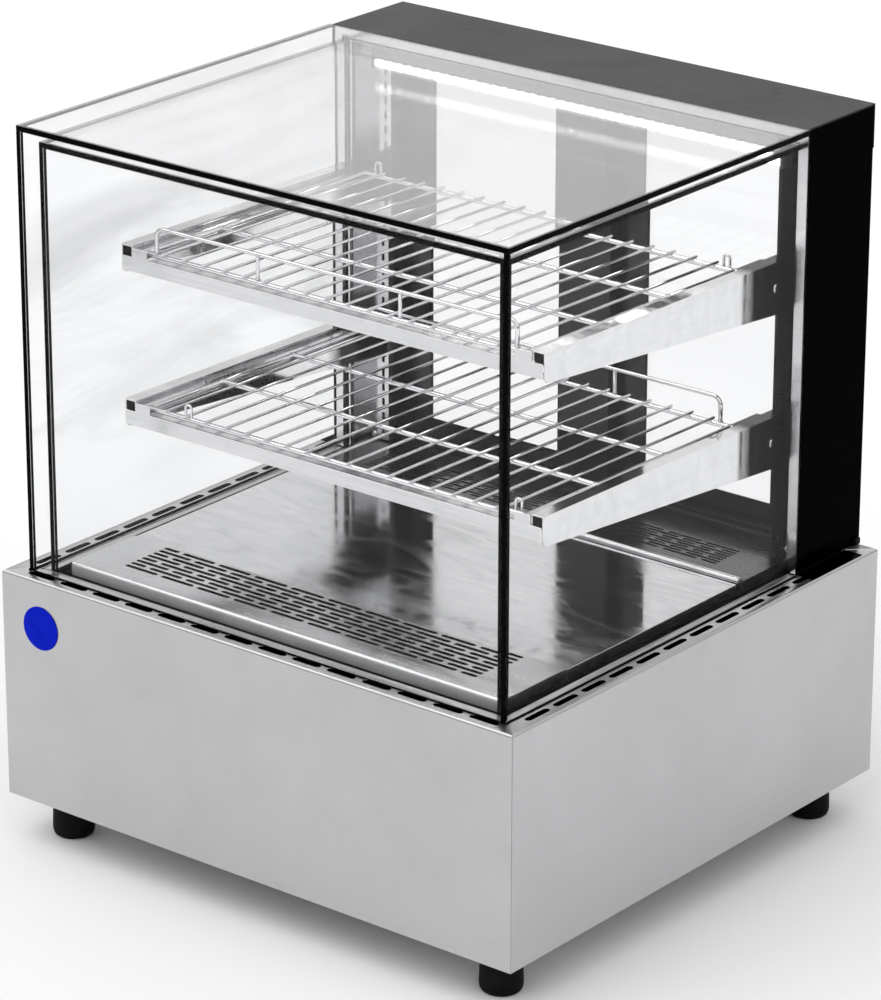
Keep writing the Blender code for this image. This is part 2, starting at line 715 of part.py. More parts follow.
def door(side, left, front):
    """Black framed glass door; its rear half is rebated for the pane."""
    name = "door_" + side
    right = left + DOOR_W
    bottom, top = DOOR_Z
    hole_x = (left + DOOR_STILE, right - DOOR_STILE)
    hole_z = (bottom + BOTTOM_RAIL, top - DOOR_RAIL)
    wide_x = (hole_x[0] - REBATE, hole_x[1] + REBATE)
    wide_z = (hole_z[0] - REBATE, hole_z[1] + REBATE)
    edge = rect((left, right), DOOR_Z)

    frame = outline(name + "_frame", [edge, rect(hole_x, hole_z)],
                    "Y", front, front + 3.0, "black")
    fuse(frame, outline_mesh([edge, rect(wide_x, wide_z)], "Y", front + 2.6, front + DOOR_T))

    pane = box(name + "_glass", (wide_x[0] + GAP, wide_x[1] - GAP), (front + 3.3, front + 7.3),
               (wide_z[0] + GAP, wide_z[1] - GAP), "glass")

    x = left + HANDLE_IN if side == "left" else right - HANDLE_IN
    y = front + DOOR_T + GAP
    handle = outline(name + "_handle", [slot(x, HANDLE_Z, *HANDLE, upright=True, steps=6)],
                     "Y", y, y + 2.6, "plastic")
    cut(handle, outline_mesh([slot(x, HANDLE_Z, *HANDLE_HOLLOW, upright=True, steps=6)],
                             "Y", y + 0.9, y + 5.0))
    for obj in (frame, pane, handle):
        set_origin(obj, (left + right) / 2.0, front + DOOR_T / 2.0, bottom)


# ------------------------------------------------------------------- shelves
SHELF_TOPS = {"upper": 528.4, "lower": 378.4}   # at the front of the arms
SHELF_FALL = 0.0175      # the arms fall this much per millimetre of depth

ARM_OUT = 239.5
ARM_IN = 226.0
ARM_T = 1.5
ARM_FRONT = 112.5
ARM_BACK = 475.0
ARM_FRONT_H = 28.3
ARM_BACK_H = 52.0
ARM_CORNER = 6.0         # radius of the web's lower front corner
LEDGE_IN = 208.0         # inner edge of the ledge that carries the rack
LEDGE_DROP = 8.3
HOOK_DROPS = (9.0, 39.0)
HOOK_HALF_X = 0.9
STUD_Y, STUD_DROP, STUD_R = 455.0, 25.0, 4.5

# Hook section: (y, height above the hook's centre)
HOOK = [(ARM_BACK - 1.0, 3.3), (484.0, 3.3), (484.0, -6.4), (480.4, -6.4),
        (480.4, -3.3), (ARM_BACK - 1.0, -3.3)]

WIRES = 19               # wire positions; rods take the first and last
WIRE_SPAN = 216.5        # half length of the cross rods
RACK_SHIFT = 2.0         # the racks lie a little to the right in their seats
WIRE_R = 1.4
ROD_R = 2.5
ROD_YS = (118.0, 219.0, 320.0, 421.0)
WIRE_Y = (112.5, 427.0)
LOWER_RACK_TURN = 539.0  # the lower rack is turned round: y becomes this - y
STOP_XS = {False: (-195.0, 208.0), True: (-166.0, 208.0)}   # by whether turned
STOP_HALF = 3.4
STOP_H = 13.6
STOP_BEND = 2.8
STOP_R = 1.3

GUARD_X = 203.0
GUARD_MID = 82.0         # middle posts from the centre
GUARD_H = 21.0
GUARD_R = 2.0
GUARD_BEND = 9.0
POST_R = 1.7


def lean(mesh):
    """Drop every point of a shelf piece in proportion to its depth."""
    for vert in mesh.vertices:
        depth = vert.co.y / MM + Y_MID - ARM_FRONT
        vert.co.z -= SHELF_FALL * depth * MM
    return mesh


def arm_web(side, top):
    low, high = side_span(side, ARM_OUT - ARM_T, ARM_OUT)
    corner = arc(ARM_FRONT + ARM_CORNER, top - ARM_FRONT_H + ARM_CORNER, ARM_CORNER, 180, 265, 4)
    web = [(ARM_FRONT, top), (ARM_BACK, top), (ARM_BACK, top - ARM_BACK_H)] + corner[::-1]
    return outline_mesh([web], "X", low, high)


def arm_ledge(side, top):
    """Top flange, inner lip and the rack's ledge, folded from one strip."""
    ledge = top - LEDGE_DROP
    outer = ARM_OUT - 0.5
    skim = top - 0.01    # just under the web's top edge
    profile = [(outer, skim), (ARM_IN, skim), (ARM_IN, ledge), (LEDGE_IN, ledge),
               (LEDGE_IN, ledge - THIN), (ARM_IN + THIN, ledge - THIN),
               (ARM_IN + THIN, top - THIN), (outer, top - THIN)]
    return outline_mesh([[(side * x, z) for x, z in profile]], "Y", ARM_FRONT, ARM_BACK - 0.6)


def arm_end_plate(side, top):
    return box_mesh(side_span(side, ARM_IN + 0.2, ARM_OUT - 0.3),
                    (ARM_BACK - 1.7, ARM_BACK - 0.2), (top - ARM_BACK_H + 2.0, top - 0.4))


def arm_hooks(side, top):
    low, high = side_span(side, HOOK_X - HOOK_HALF_X, HOOK_X + HOOK_HALF_X)
    return gather([outline_mesh([[(y, top - drop + up) for y, up in HOOK]], "X", low, high)
                   for drop in HOOK_DROPS])


def arm_stud(side, top):
    """Round stud on the outer face of the web."""
    low, high = side_span(side, ARM_OUT - 0.7, ARM_OUT + 2.2)
    return outline_mesh([arc(STUD_Y, top - STUD_DROP, STUD_R, 0, 330, 11)], "X", low, high)


def shelf_arm(name, side, top):
    """Tapered cantilever arm."""
    arm = register(name, lean(arm_web(side, top)), "polished")
    for piece in (arm_ledge, arm_end_plate, arm_hooks, arm_stud):
        fuse(arm, lean(piece(side, top)))


def front_rail(name, top):
    """Strip across the front of both arms; its end tabs close the ledges."""
    bottom, edge, tab = top - 24.0, top - 10.0, top - 1.6
    end = ARM_OUT - ARM_T - FIT
    tab_x = ARM_IN - FIT
    loop = [(-end, bottom), (end, bottom), (end, edge), (tab_x, edge), (tab_x, tab),
            (LEDGE_IN, tab), (LEDGE_IN, edge), (-LEDGE_IN, edge), (-LEDGE_IN, tab),
            (-tab_x, tab), (-tab_x, edge), (-end, edge)]
    back = ARM_FRONT - FIT
    rail = outline(name, [loop], "Y", back - THIN, back, "brushed")
    fuse(rail, box_mesh(span(0.0, LEDGE_IN - 0.6), (111.4, 124.0), (edge - 1.6, edge - 0.4)))


def rack_y(y, turned):
    return LOWER_RACK_TURN - y if turned else y


def rod_height(top):
    """Centre of the cross rods, resting on the ledges."""
    return top - LEDGE_DROP + GAP + ROD_R


def wire_rack(name, top, turned):
    """Four cross rods and two side rods under front-to-back wires."""
    rod_z = rod_height(top)
    wire_z = rod_z + ROD_R + WIRE_R - 0.7
    side_z = rod_z + 0.15
    left, right = span(RACK_SHIFT, WIRE_SPAN)
    first, last = rack_y(ROD_YS[0], turned), rack_y(ROD_YS[-1], turned)

    rods = [tube_mesh([(left, rack_y(y, turned), rod_z), (right, rack_y(y, turned), rod_z)],
                      ROD_R, 2) for y in ROD_YS]
    rack = register(name, lean(gather(rods)), "chrome")

    ends = [rack_y(y, turned) for y in (ROD_YS[0] - 2.0, ROD_YS[-1] + 2.0)]
    sides = [tube_mesh([(x, y, side_z) for y in ends], ROD_R - 0.1, 2)
             for x in (left + 2.0, right - 2.0)]
    fuse(rack, lean(gather(sides)))

    ends = [rack_y(y, turned) for y in WIRE_Y]
    wires = []
    for i in range(1, WIRES - 1):
        x = -WIRE_SPAN + 2.0 * WIRE_SPAN * i / (WIRES - 1) + RACK_SHIFT
        wires.append(tube_mesh([(x, y, wire_z) for y in ends], WIRE_R))
    fuse(rack, lean(gather(wires)))

    # Wire loops standing on the last rod
    stops = [tube_mesh(hoop(span(x, STOP_HALF), last, (rod_z + 0.4, rod_z + STOP_H), STOP_BEND),
                       STOP_R) for x in STOP_XS[turned]]
    fuse(rack, lean(gather(stops)))
    set_origin(rack, 0.0, (first + last) / 2.0, rod_z)


def guard_rail(name, top, turned):
    """Low wire fence standing on the first rod of a rack."""
    y = rack_y(ROD_YS[0], turned)
    bottom = rod_height(top) + ROD_R + 0.4
    height = (bottom, top + GUARD_H)
    fence = tube_mesh(hoop(span(RACK_SHIFT, GUARD_X), y, height, GUARD_BEND, steps=4), GUARD_R)
    rail = register(name, lean(fence), "chrome")
    posts = [tube_mesh([(x, y, z) for z in height], POST_R) for x in span(RACK_SHIFT, GUARD_MID)]
    fuse(rail, lean(gather(posts)))
    set_origin(rail, 0.0, y, bottom)


def shelf(level, top):
    turned = level == "lower"
    for word, side in SIDES:
        shelf_arm(f"{level}_arm_{word}", side, top)
    front_rail(level + "_shelf_rail", top)
    wire_rack(level + "_rack", top, turned)
    guard_rail(level + "_guard_rail", top, turned)


# ------------------------------------------------------- controls at the rear
# Pairs named HALF or HOLE are half width, half height.
THERMO_X, THERMO_Z = -185.0, 158.0
THERMO_HOLE = (35.8, 14.8)
THERMO_FACE_HALF = (38.5, 17.5)
THERMO_FACE_Y = (557.6, 561.0)
THERMO_BODY_Y = (505.0, 558.5)

KEY_X = THERMO_X - 30.0
KEY_ZS = {"thermostat_key_up": THERMO_Z + 6.5, "thermostat_key_down": THERMO_Z - 6.5}
KEY_HALF = (5.0, 3.5)
KEY_BACK = 559.6

ROCKERS = {"power_rocker": (-122.0, "green"), "light_rocker": (-80.0, "plastic")}   # x, look
ROCKER_HOLE = (10.2, 15.6)
ROCKER_BEZEL_HALF = (13.0, 18.4)
ROCKER_PIVOT_Y = 552.0
# Rocker section: (y, height above its middle)
ROCKER = [(549.5, -9.0), (556.0, -13.6), (561.6, -13.6), (559.6, 0.0), (561.6, 13.6),
          (556.0, 13.6), (549.5, 9.0)]

INLET_FACE_HALF = (25.0, 14.0)
# Socket cavity and pin centres: (x, z) from the inlet's centre
SOCKET = [(-12.0, -8.0), (12.0, -8.0), (12.0, 3.5), (7.5, 8.0), (-7.5, 8.0), (-12.0, 3.5)]
PINS = [(-7.0, -2.5), (0.0, 2.0), (7.0, -2.5)]
PIN_HALF = (1.0, 2.0)


def block(x, z, half, y, ease=0.0):
    """Box round (x, z) with the given half sizes, each enlarged by ease."""
    return box_mesh(span(x, half[0] + ease), y, span(z, half[1] + ease))


def control_plate():
    hole = rect(span(THERMO_X, THERMO_HOLE[0]), span(THERMO_Z, THERMO_HOLE[1]))
    face = DEPTH + GAP
    plate = outline("control_plate", [rect(CONTROL_X, CONTROL_Z), hole],
                    "Y", face, face + 2.0, "black")
    fuse(plate, gather([block(x, THERMO_Z, ROCKER_BEZEL_HALF, (face + 1.0, face + 4.0))
                        for x, _ in ROCKERS.values()]))
    cut(plate, gather([block(x, THERMO_Z, ROCKER_HOLE, (DEPTH - 5.0, DEPTH + 9.0))
                       for x, _ in ROCKERS.values()]))


def thermostat():
    thermo = register("thermostat", block(THERMO_X, THERMO_Z, THERMO_FACE_HALF, THERMO_FACE_Y),
                      "plastic")
    fuse(thermo, block(THERMO_X, THERMO_Z, THERMO_HOLE, THERMO_BODY_Y, ease=-FIT))
    cut(thermo, gather([block(KEY_X, z, KEY_HALF, (558.2, 565.0), ease=GAP)
                        for z in KEY_ZS.values()]))
    for name, z in KEY_ZS.items():
        key = register(name, block(KEY_X, z, KEY_HALF, (KEY_BACK, KEY_FACE)), "white")
        set_origin(key, KEY_X, (KEY_BACK + KEY_FACE) / 2.0, z)


def rockers():
    section = [(y, THERMO_Z + up) for y, up in ROCKER]
    for name, (x, look) in ROCKERS.items():
        rocker = outline(name, [section], "X", *span(x, ROCKER_HOLE[0] - FIT), look)
        set_origin(rocker, x, ROCKER_PIVOT_Y, THERMO_Z)


def mains_inlet():
    inlet = register("mains_inlet",
                     block(INLET_X, INLET_Z, INLET_FACE_HALF, (DEPTH + GAP, DEPTH + 3.3)),
                     "plastic")
    fuse(inlet, block(INLET_X, INLET_Z, INLET_HOLE, (533.0, DEPTH + 1.0), ease=-FIT))
    cavity = [(INLET_X + x, INLET_Z + z) for x, z in SOCKET]
    cut(inlet, outline_mesh([cavity], "Y", 540.0, DEPTH + 8.0))
    fuse(inlet, gather([block(INLET_X + x, INLET_Z + z, PIN_HALF, (538.5, DEPTH + 0.5))
                        for x, z in PINS]))


# ---------------------------------------------------------------------- badge
BADGE_X, BADGE_Z, BADGE_R = -252.0, 179.5, 21.3


def badge():
    outline("maker_badge", [circle(BADGE_X, BADGE_Z, BADGE_R, 32)],
            "Y", BADGE_FACE, -GAP, "blue")


# ------------------------------------------------------------------- assembly
def build_base():
    front_panel()
    for word, side in SIDES:
        side_panel(f"base_{word}_panel", side)
    rear_panel()
    bottom_plate()
    for row, y in FOOT_YS.items():
        for word, side in SIDES:
            foot(f"foot_{row}_{word}", side * FOOT_X, y)
    badge()


def build_cabinet():
    inner_channel()
    glass_shell("outer", OUT_X, OUT_Y, OUT_BACK, BASE_H + GAP, OUT_TOP)
    glass_shell("inner", IN_X, IN_Y, IN_BACK, IN_BOTTOM, IN_TOP)
    deck()
    air_pan()
    heater()
    fan_housing()
    fan_rotor()
    for level, top in SHELF_TOPS.items():
        shelf(level, top)


def build_tower():
    tower_covers()
    front_trim()
    for word, side in SIDES:
        pilaster("pilaster_" + word, side)
    door_tracks()
    for side, (left, front) in DOOR_PLACES.items():
        door(side, left, front)
    cabinet_light()


def build_controls():
    control_plate()
    thermostat()
    rockers()
    mains_inlet()


def smooth_all():
    for obj in parts.objects:
        obj.data.shade_smooth()
        obj.data.set_sharp_from_angle(angle=math.radians(32.0))


build_base()
build_cabinet()
build_tower()
build_controls()
smooth_all()
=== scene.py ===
"""Looks of the countertop hot food display case.

A steel base on four feet carries a double glass box with two wire shelves; a
black tower stands along its back, with sliding doors and controls at the rear.

Lengths below are working millimetres: x to the right, y back from the front
face of the base, z up from the bottom edge of the base panels.  at() turns
them into metres in the object's frame.  Material coordinates are in metres.
"""

import json
import math
import random
from contextlib import contextmanager

import bmesh
import bpy
from mathutils import Matrix, Vector

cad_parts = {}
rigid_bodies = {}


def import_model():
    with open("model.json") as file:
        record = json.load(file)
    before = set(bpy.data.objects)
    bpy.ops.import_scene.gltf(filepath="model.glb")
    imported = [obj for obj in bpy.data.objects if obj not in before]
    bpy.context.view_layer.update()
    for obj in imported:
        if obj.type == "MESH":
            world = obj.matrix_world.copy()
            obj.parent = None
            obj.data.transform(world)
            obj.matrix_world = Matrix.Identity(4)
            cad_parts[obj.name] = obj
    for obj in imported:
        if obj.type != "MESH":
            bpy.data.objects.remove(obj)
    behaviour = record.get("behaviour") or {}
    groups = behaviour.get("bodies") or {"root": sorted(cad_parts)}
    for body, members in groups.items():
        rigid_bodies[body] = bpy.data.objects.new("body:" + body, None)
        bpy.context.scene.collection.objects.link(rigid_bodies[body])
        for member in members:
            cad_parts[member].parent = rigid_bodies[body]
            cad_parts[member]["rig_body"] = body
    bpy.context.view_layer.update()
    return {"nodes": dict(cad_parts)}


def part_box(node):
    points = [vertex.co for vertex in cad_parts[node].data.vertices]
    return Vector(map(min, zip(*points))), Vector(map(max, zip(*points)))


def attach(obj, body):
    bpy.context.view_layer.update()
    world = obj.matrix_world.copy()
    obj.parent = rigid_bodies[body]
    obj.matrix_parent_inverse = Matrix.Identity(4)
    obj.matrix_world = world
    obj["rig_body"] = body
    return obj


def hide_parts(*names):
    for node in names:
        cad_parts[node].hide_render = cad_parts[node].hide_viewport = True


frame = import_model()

NODES = frame["nodes"]
RANDOM = random.Random(7)

MM = 0.001
Y_MID = 280.6                   # working y of the object's origin
FOOT_H = 44.0
BASE_H = 226.0
SHELF_TOPS = {"upper": 528.4, "lower": 378.4}
SHELF_FALL = 0.0175             # drop of a shelf per millimetre of depth
ARM_FRONT = 112.5               # y of the front ends of the shelf arms
RIM_SLOT_Z = (BASE_H - 2.0, BASE_H + 0.5)
INLET_X, INLET_Z = 215.0, 60.0  # centre of the mains inlet

SIDES = (-1, 1)                 # left, right
UP, DOWN = (0, 0, 1), (0, 0, -1)
FORWARD, BACKWARD = (0, -1, 0), (0, 1, 0)

# Slot names shared by many pieces.
BRUSHED = "stainless_brushed"
POLISHED = "stainless_polished"
GLOSS = "black_gloss"
RUBBER = "rubber_black"
PLASTIC = "plastic_black"
CHROME = "chrome_wire"
TRACK = "aluminium_track"


def at(x, y, z):
    return Vector((x, y - Y_MID, z + FOOT_H)) * MM


def shelf_drop(y):
    """How far a sloping shelf has fallen at depth y."""
    return SHELF_FALL * (y - ARM_FRONT)


# ============================================================ shader wiring
MATS = {}
GRAIN_ALONG, GRAIN_ACROSS = 5.0, 900.0   # noise scale along and across the brushing


class Nodes:
    """Wires the nodes of a material or world; a node stands for its first output."""

    def __init__(self, owner, output, coord):
        owner.use_nodes = True
        self.tree = owner.node_tree
        self.tree.nodes.clear()
        self.out = self.node(output)
        self.coord = self.node("TexCoord").outputs[coord]

    def node(self, kind, inputs=None, **props):
        made = self.tree.nodes.new("ShaderNode" + kind)
        for key, value in props.items():
            setattr(made, key, value)
        for key, value in (inputs or {}).items():
            self.put(made.inputs[key], value)
        return made

    def put(self, socket, value):
        if isinstance(value, bpy.types.Node):
            value = value.outputs[0]
        if isinstance(value, bpy.types.NodeSocket):
            self.tree.links.new(value, socket)
        elif socket.type == 'RGBA':
            socket.default_value = (*value, 1.0)
        else:
            socket.default_value = value

    def axis(self, name):
        return self.node("SeparateXYZ", {"Vector": self.coord}).outputs[name]

    def math(self, operation, a, b=0.0, clamp=False):
        return self.node("Math", {0: a, 1: b}, operation=operation, use_clamp=clamp)

    def add(self, a, b, clamp=False):
        return self.math("ADD", a, b, clamp)

    def mix(self, fac, a, b, blend='MIX'):
        made = self.node("Mix", {0: fac, 6: a, 7: b}, data_type='RGBA', blend_type=blend)
        return made.outputs[2]

    def surface(self, node):
        self.put(self.out.inputs["Surface"], node)


class Shader(Nodes):
    """A named material in object coordinates, registered in MATS."""

    def __init__(self, name):
        self.mat = MATS[name] = bpy.data.materials.new(name)
        super().__init__(self.mat, "OutputMaterial", "Object")

    def noise(self, scale, detail=3.0, rough=0.5, distort=0.0, rotate=(0, 0, 0)):
        """Noise of one scale, or stretched by a scale for each axis."""
        vector = self.coord
        if isinstance(scale, tuple):
            vector = self.node("Mapping", {"Vector": vector, "Scale": scale, "Rotation": rotate})
            scale = 1.0
        made = self.node("TexNoise", {"Vector": vector, "Scale": scale, "Detail": detail,
                                      "Roughness": rough, "Distortion": distort})
        return made.outputs["Fac"]

    def grain_lines(self, along, density, detail=2.0):
        scale = tuple((GRAIN_ALONG if axis == along else GRAIN_ACROSS) * density for axis in "XYZ")
        return self.noise(scale, detail=detail, rough=0.6)

    def remap(self, value, to, over=(0.3, 0.7), **props):
        made = self.node("MapRange", {"Value": value, "From Min": over[0], "From Max": over[1],
                                      "To Min": to[0], "To Max": to[1]}, **props)
        return made.outputs["Result"]

    def shade(self, colour, value):
        grey = self.node("CombineColor", {0: value, 1: value, 2: value})
        return self.mix(1.0, colour, grey, 'MULTIPLY')

    def bump(self, height, strength, distance, normal=None):
        inputs = {"Height": height, "Strength": strength, "Distance": distance}
        if normal is not None:
            inputs["Normal"] = normal
        return self.node("Bump", inputs)

    def principled(self, **inputs):
        """Socket names are given with underscores for spaces."""
        named = {key.replace("_", " "): value for key, value in inputs.items()}
        self.surface(self.node("BsdfPrincipled", named))

    def metal(self, colour, rough, normal, aniso, grain):
        along = {axis: 1.0 if axis == grain else 0.0 for axis in "XYZ"}
        self.principled(Base_Color=colour, Metallic=1.0, Roughness=rough, Normal=normal,
                        Anisotropic=aniso, Tangent=self.node("CombineXYZ", along))

    def mix_shader(self, fac, a, b):
        return self.node("MixShader", {0: fac, 1: a, 2: b})

    def preview(self, colour, alpha=1.0):
        """Viewport colour."""
        self.mat.diffuse_color = (*colour, alpha)


# ========================================================== material makers
def steel(name, colour, rough=0.34, grain="X", streak=0.05, mottle=0.05, smudge=0.08,
          bump=0.05, aniso=0.5, spread=1.0, rim=None):
    """Brushed sheet: fine and coarse grain lines along one axis, cloudy smudges.

    rim is (height, colour, roughness) of a folded flange, painted lighter as a highlight, with its
    own roughness.
    """
    tree = Shader(name)
    fine = tree.grain_lines(grain, spread)
    coarse = tree.grain_lines(grain, 0.22 * spread, detail=3.0)
    cloud = tree.noise(5.5, detail=4.0, rough=0.55, distort=0.6)
    patch = tree.noise((14.0, 14.0, 9.0), detail=5.0, rough=0.62, distort=1.2)
    scratch = tree.noise((60.0, 47.0, 71.0), detail=6.0, rough=0.75, distort=2.5,
                         rotate=(0.4, 0.9, 0.3))
    lines = tree.add(tree.remap(fine, to=(-streak, streak)),
                     tree.remap(coarse, to=(-streak * 0.35, streak * 0.35)))
    value = tree.add(1.0, tree.add(lines, tree.remap(cloud, to=(-mottle, mottle))))
    value = tree.add(value, tree.remap(scratch, to=(0.0, streak * 0.5), over=(0.62, 0.75)))
    base, start = colour, rough
    if rim:
        rim_z, rim_highlight_colour, rim_rough = rim
        fade = (rim_z, rim_z + 0.0008)
        height = tree.axis("Z")
        # The flange's lighter colour is a painted highlight.
        base = tree.mix(tree.remap(height, to=(0.0, 1.0), over=fade), colour, rim_highlight_colour)
        start = tree.remap(height, to=(rough, rim_rough), over=fade)
    rgb = tree.shade(base, value)
    sheen = tree.add(start, tree.remap(patch, to=(-smudge * 0.5, smudge), over=(0.35, 0.75)))
    sheen = tree.add(sheen, tree.remap(fine, to=(-0.03, 0.03)), clamp=True)
    relief = tree.add(fine, tree.math("MULTIPLY", coarse, 0.5))
    normal = tree.bump(relief, strength=bump, distance=0.0002)
    tree.metal(rgb, sheen, normal, aniso, grain)
    tree.preview(colour)


def mirror_steel(name, colour, rough, grain="X", haze=0.10, streak=0.03, wave=0.02,
                 inner=None, wipe=(-0.06, 0.05)):
    """Polished sheet with wiped smears, faint rub lines and a little haze.

    inner is (y, colour, fade length) of a darker tone painted on behind y, standing for shade and
    dark reflections.
    wipe is the range by which the smears change the brightness.
    """
    tree = Shader(name)
    fine = tree.grain_lines(grain, 0.8)
    wipes = tree.noise((9.0, 26.0, 20.0), detail=5.0, rough=0.6, distort=1.8,
                       rotate=(0.0, 0.0, 0.7))
    cloud = tree.noise(7.0, detail=5.0, rough=0.6, distort=0.8)
    value = tree.add(tree.remap(fine, to=(1.0 - streak, 1.0 + streak)),
                     tree.remap(wipes, to=wipe))
    base = colour
    # Painted shade and painted reflection: a darker tone behind a given depth.
    if inner:
        start, dark_zone_colour, fade = inner
        depth = tree.remap(tree.axis("Y"), to=(0.0, 1.0), over=(start, start + fade))
        base = tree.mix(depth, colour, dark_zone_colour)
    rgb = tree.shade(base, value)
    sheen = tree.add(rough, tree.remap(wipes, to=(0.0, haze), over=(0.42, 0.7)))
    sheen = tree.add(sheen, tree.remap(cloud, to=(-0.02, 0.04)), clamp=True)
    normal = tree.bump(fine, strength=0.03, distance=0.0001)
    normal = tree.bump(cloud, strength=wave, distance=0.0004, normal=normal)
    tree.metal(rgb, sheen, normal, aniso=0.3, grain=grain)
    tree.preview(colour)


def chrome(name, colour, rough):
    """Bright plated wire: pitting, dulled patches, and painted shade darkening its outline."""
    tree = Shader(name)
    pits = tree.noise(900.0, detail=3.0, rough=0.7)
    dull = tree.noise(45.0, detail=4.0, rough=0.6, distort=0.5)
    rgb = tree.mix(tree.remap(dull, to=(0.0, 0.55), over=(0.5, 0.75)), colour,
                   tuple(c * 0.72 for c in colour))
    # Painted shade: the colour darkens towards the wire's outline, where it turns away from view.
    outline_painted_shade = tree.node("LayerWeight", {"Blend": 0.5}).outputs["Facing"]
    rgb = tree.mix(tree.remap(outline_painted_shade, to=(0.0, 0.88), over=(0.42, 0.86)), rgb, (0.05, 0.05, 0.052))
    sheen = tree.add(rough, tree.remap(dull, to=(0.0, 0.16), over=(0.45, 0.75)), clamp=True)
    normal = tree.bump(pits, strength=0.10, distance=0.0001)
    tree.principled(Base_Color=rgb, Metallic=1.0, Roughness=sheen, Normal=normal)
    tree.preview(colour)


def lacquer(name, colour, rough=0.16, specular=0.5, dust=0.02, orange=0.05, worn=None):
    """Baked finish: orange-peel bump, dust specks and hairline rubs."""
    tree = Shader(name)
    peel = tree.noise(420.0, detail=2.0)
    specks = tree.noise(1500.0, detail=1.0)
    cloud = tree.noise((6.0, 6.0, 3.0), detail=4.0, rough=0.6, distort=0.8)
    rubs = tree.noise((30.0, 30.0, 420.0), detail=4.0, rough=0.7, distort=0.6,
                      rotate=(0.2, 0.35, 0.0))
    light = tuple(c + dust for c in colour)
    rgb = tree.mix(tree.remap(specks, to=(0.0, 0.8), over=(0.66, 0.76)), colour, light)
    rgb = tree.mix(tree.remap(cloud, to=(0.0, 0.35), over=(0.45, 0.8)), rgb, light)
    if worn:
        rgb = tree.mix(tree.remap(peel, to=(0.0, 0.7), over=(0.52, 0.66)), rgb, worn)
    sheen = tree.add(rough, tree.remap(cloud, to=(-0.03, 0.09), over=(0.35, 0.75)))
    sheen = tree.add(sheen, tree.remap(rubs, to=(0.0, 0.10), over=(0.58, 0.75)), clamp=True)
    normal = tree.bump(peel, strength=orange, distance=0.0001)
    tree.principled(Base_Color=rgb, Roughness=sheen, Normal=normal, Specular_IOR_Level=specular)
    tree.preview(colour)


def rubber(name, colour, rough, dust, bump, specular):
    """Dull gritty black with a cloudy film of dust."""
    tree = Shader(name)
    grit = tree.noise(700.0, detail=4.0, rough=0.7)
    cloud = tree.noise(30.0, detail=4.0, rough=0.6, distort=0.5)
    rgb = tree.mix(tree.remap(cloud, to=(0.0, 0.5), over=(0.45, 0.8)), colour,
                   tuple(c + dust for c in colour))
    sheen = tree.add(rough, tree.remap(grit, to=(-0.08, 0.10)), clamp=True)
    normal = tree.bump(grit, strength=bump, distance=0.0004)
    tree.principled(Base_Color=rgb, Roughness=sheen, Normal=normal, Specular_IOR_Level=specular)
    tree.preview(colour)


def plastic(name, colour, rough, grain=1560.0, bump=0.15, specular=0.45):
    """Moulded plastic with a spark-eroded texture and handling sheen."""
    tree = Shader(name)
    texture = tree.noise(grain, detail=2.0, rough=0.6)
    cloud = tree.noise(60.0, detail=4.0, rough=0.6, distort=0.4)
    rgb = tree.mix(tree.remap(cloud, to=(0.0, 0.4)), colour,
                   tuple(min(1.0, c * 1.25 + 0.004) for c in colour))
    sheen = tree.add(rough, tree.remap(cloud, to=(-0.08, 0.08)), clamp=True)
    normal = tree.bump(texture, strength=bump, distance=0.0002)
    tree.principled(Base_Color=rgb, Roughness=sheen, Normal=normal, Specular_IOR_Level=specular)
    tree.preview(colour)


def glass(name, mirror, smears, clean=False):
    """Clear float glass: true refraction, scaled surface mirror, light smears.

    clean keeps the smears off the foot of the pane.
    """
    ior = 1.5
    tree = Shader(name)
    smear = tree.noise((7.0, 7.0, 3.2), detail=5.0, rough=0.62, distort=1.6,
                       rotate=(0.2, 0.1, 0.5))
    dust = tree.noise(1300.0, detail=1.0)
    refraction = tree.node("BsdfRefraction", {"Color": (0.99, 0.991, 0.992), "Roughness": 0.0,
                                              "IOR": ior})
    sharp = tree.node("BsdfAnisotropic", {
        "Color": (1.0, 1.0, 1.0),
        "Roughness": tree.remap(smear, to=(0.0, 0.10), over=(0.5, 0.8))})
    amount = tree.math("MULTIPLY", tree.node("Fresnel", {"IOR": ior}), mirror)
    body = tree.mix_shader(amount, refraction, sharp)
    film = tree.node("BsdfDiffuse", {"Color": (0.45, 0.45, 0.46)})
    wiped = tree.noise((1.5, 3.0, 16.0), detail=4.0, rough=0.6, distort=0.9,
                       rotate=(0.35, 0.1, 0.0))
    marks = tree.remap(wiped, to=(0.0, smears), over=(0.45, 0.75))
    if clean:
        above_foot = tree.remap(tree.axis("Z"), to=(0.06, 1.0), over=(0.31, 0.40))
        marks = tree.math("MULTIPLY", marks, above_foot)
    haze = tree.add(marks, tree.remap(dust, to=(0.0, 0.03), over=(0.72, 0.80)))
    dirty = tree.mix_shader(haze, body, film)
    # Light and diffuse rays pass straight through, so the panes cast little shadow.
    clear = tree.node("BsdfTransparent", {"Color": (0.96, 0.962, 0.964)})
    path = tree.node("LightPath")
    soft = tree.math("MAXIMUM", path.outputs["Is Shadow Ray"], path.outputs["Is Diffuse Ray"])
    tree.surface(tree.mix_shader(soft, dirty, clear))
    tree.preview((0.85, 0.9, 0.9), alpha=0.25)


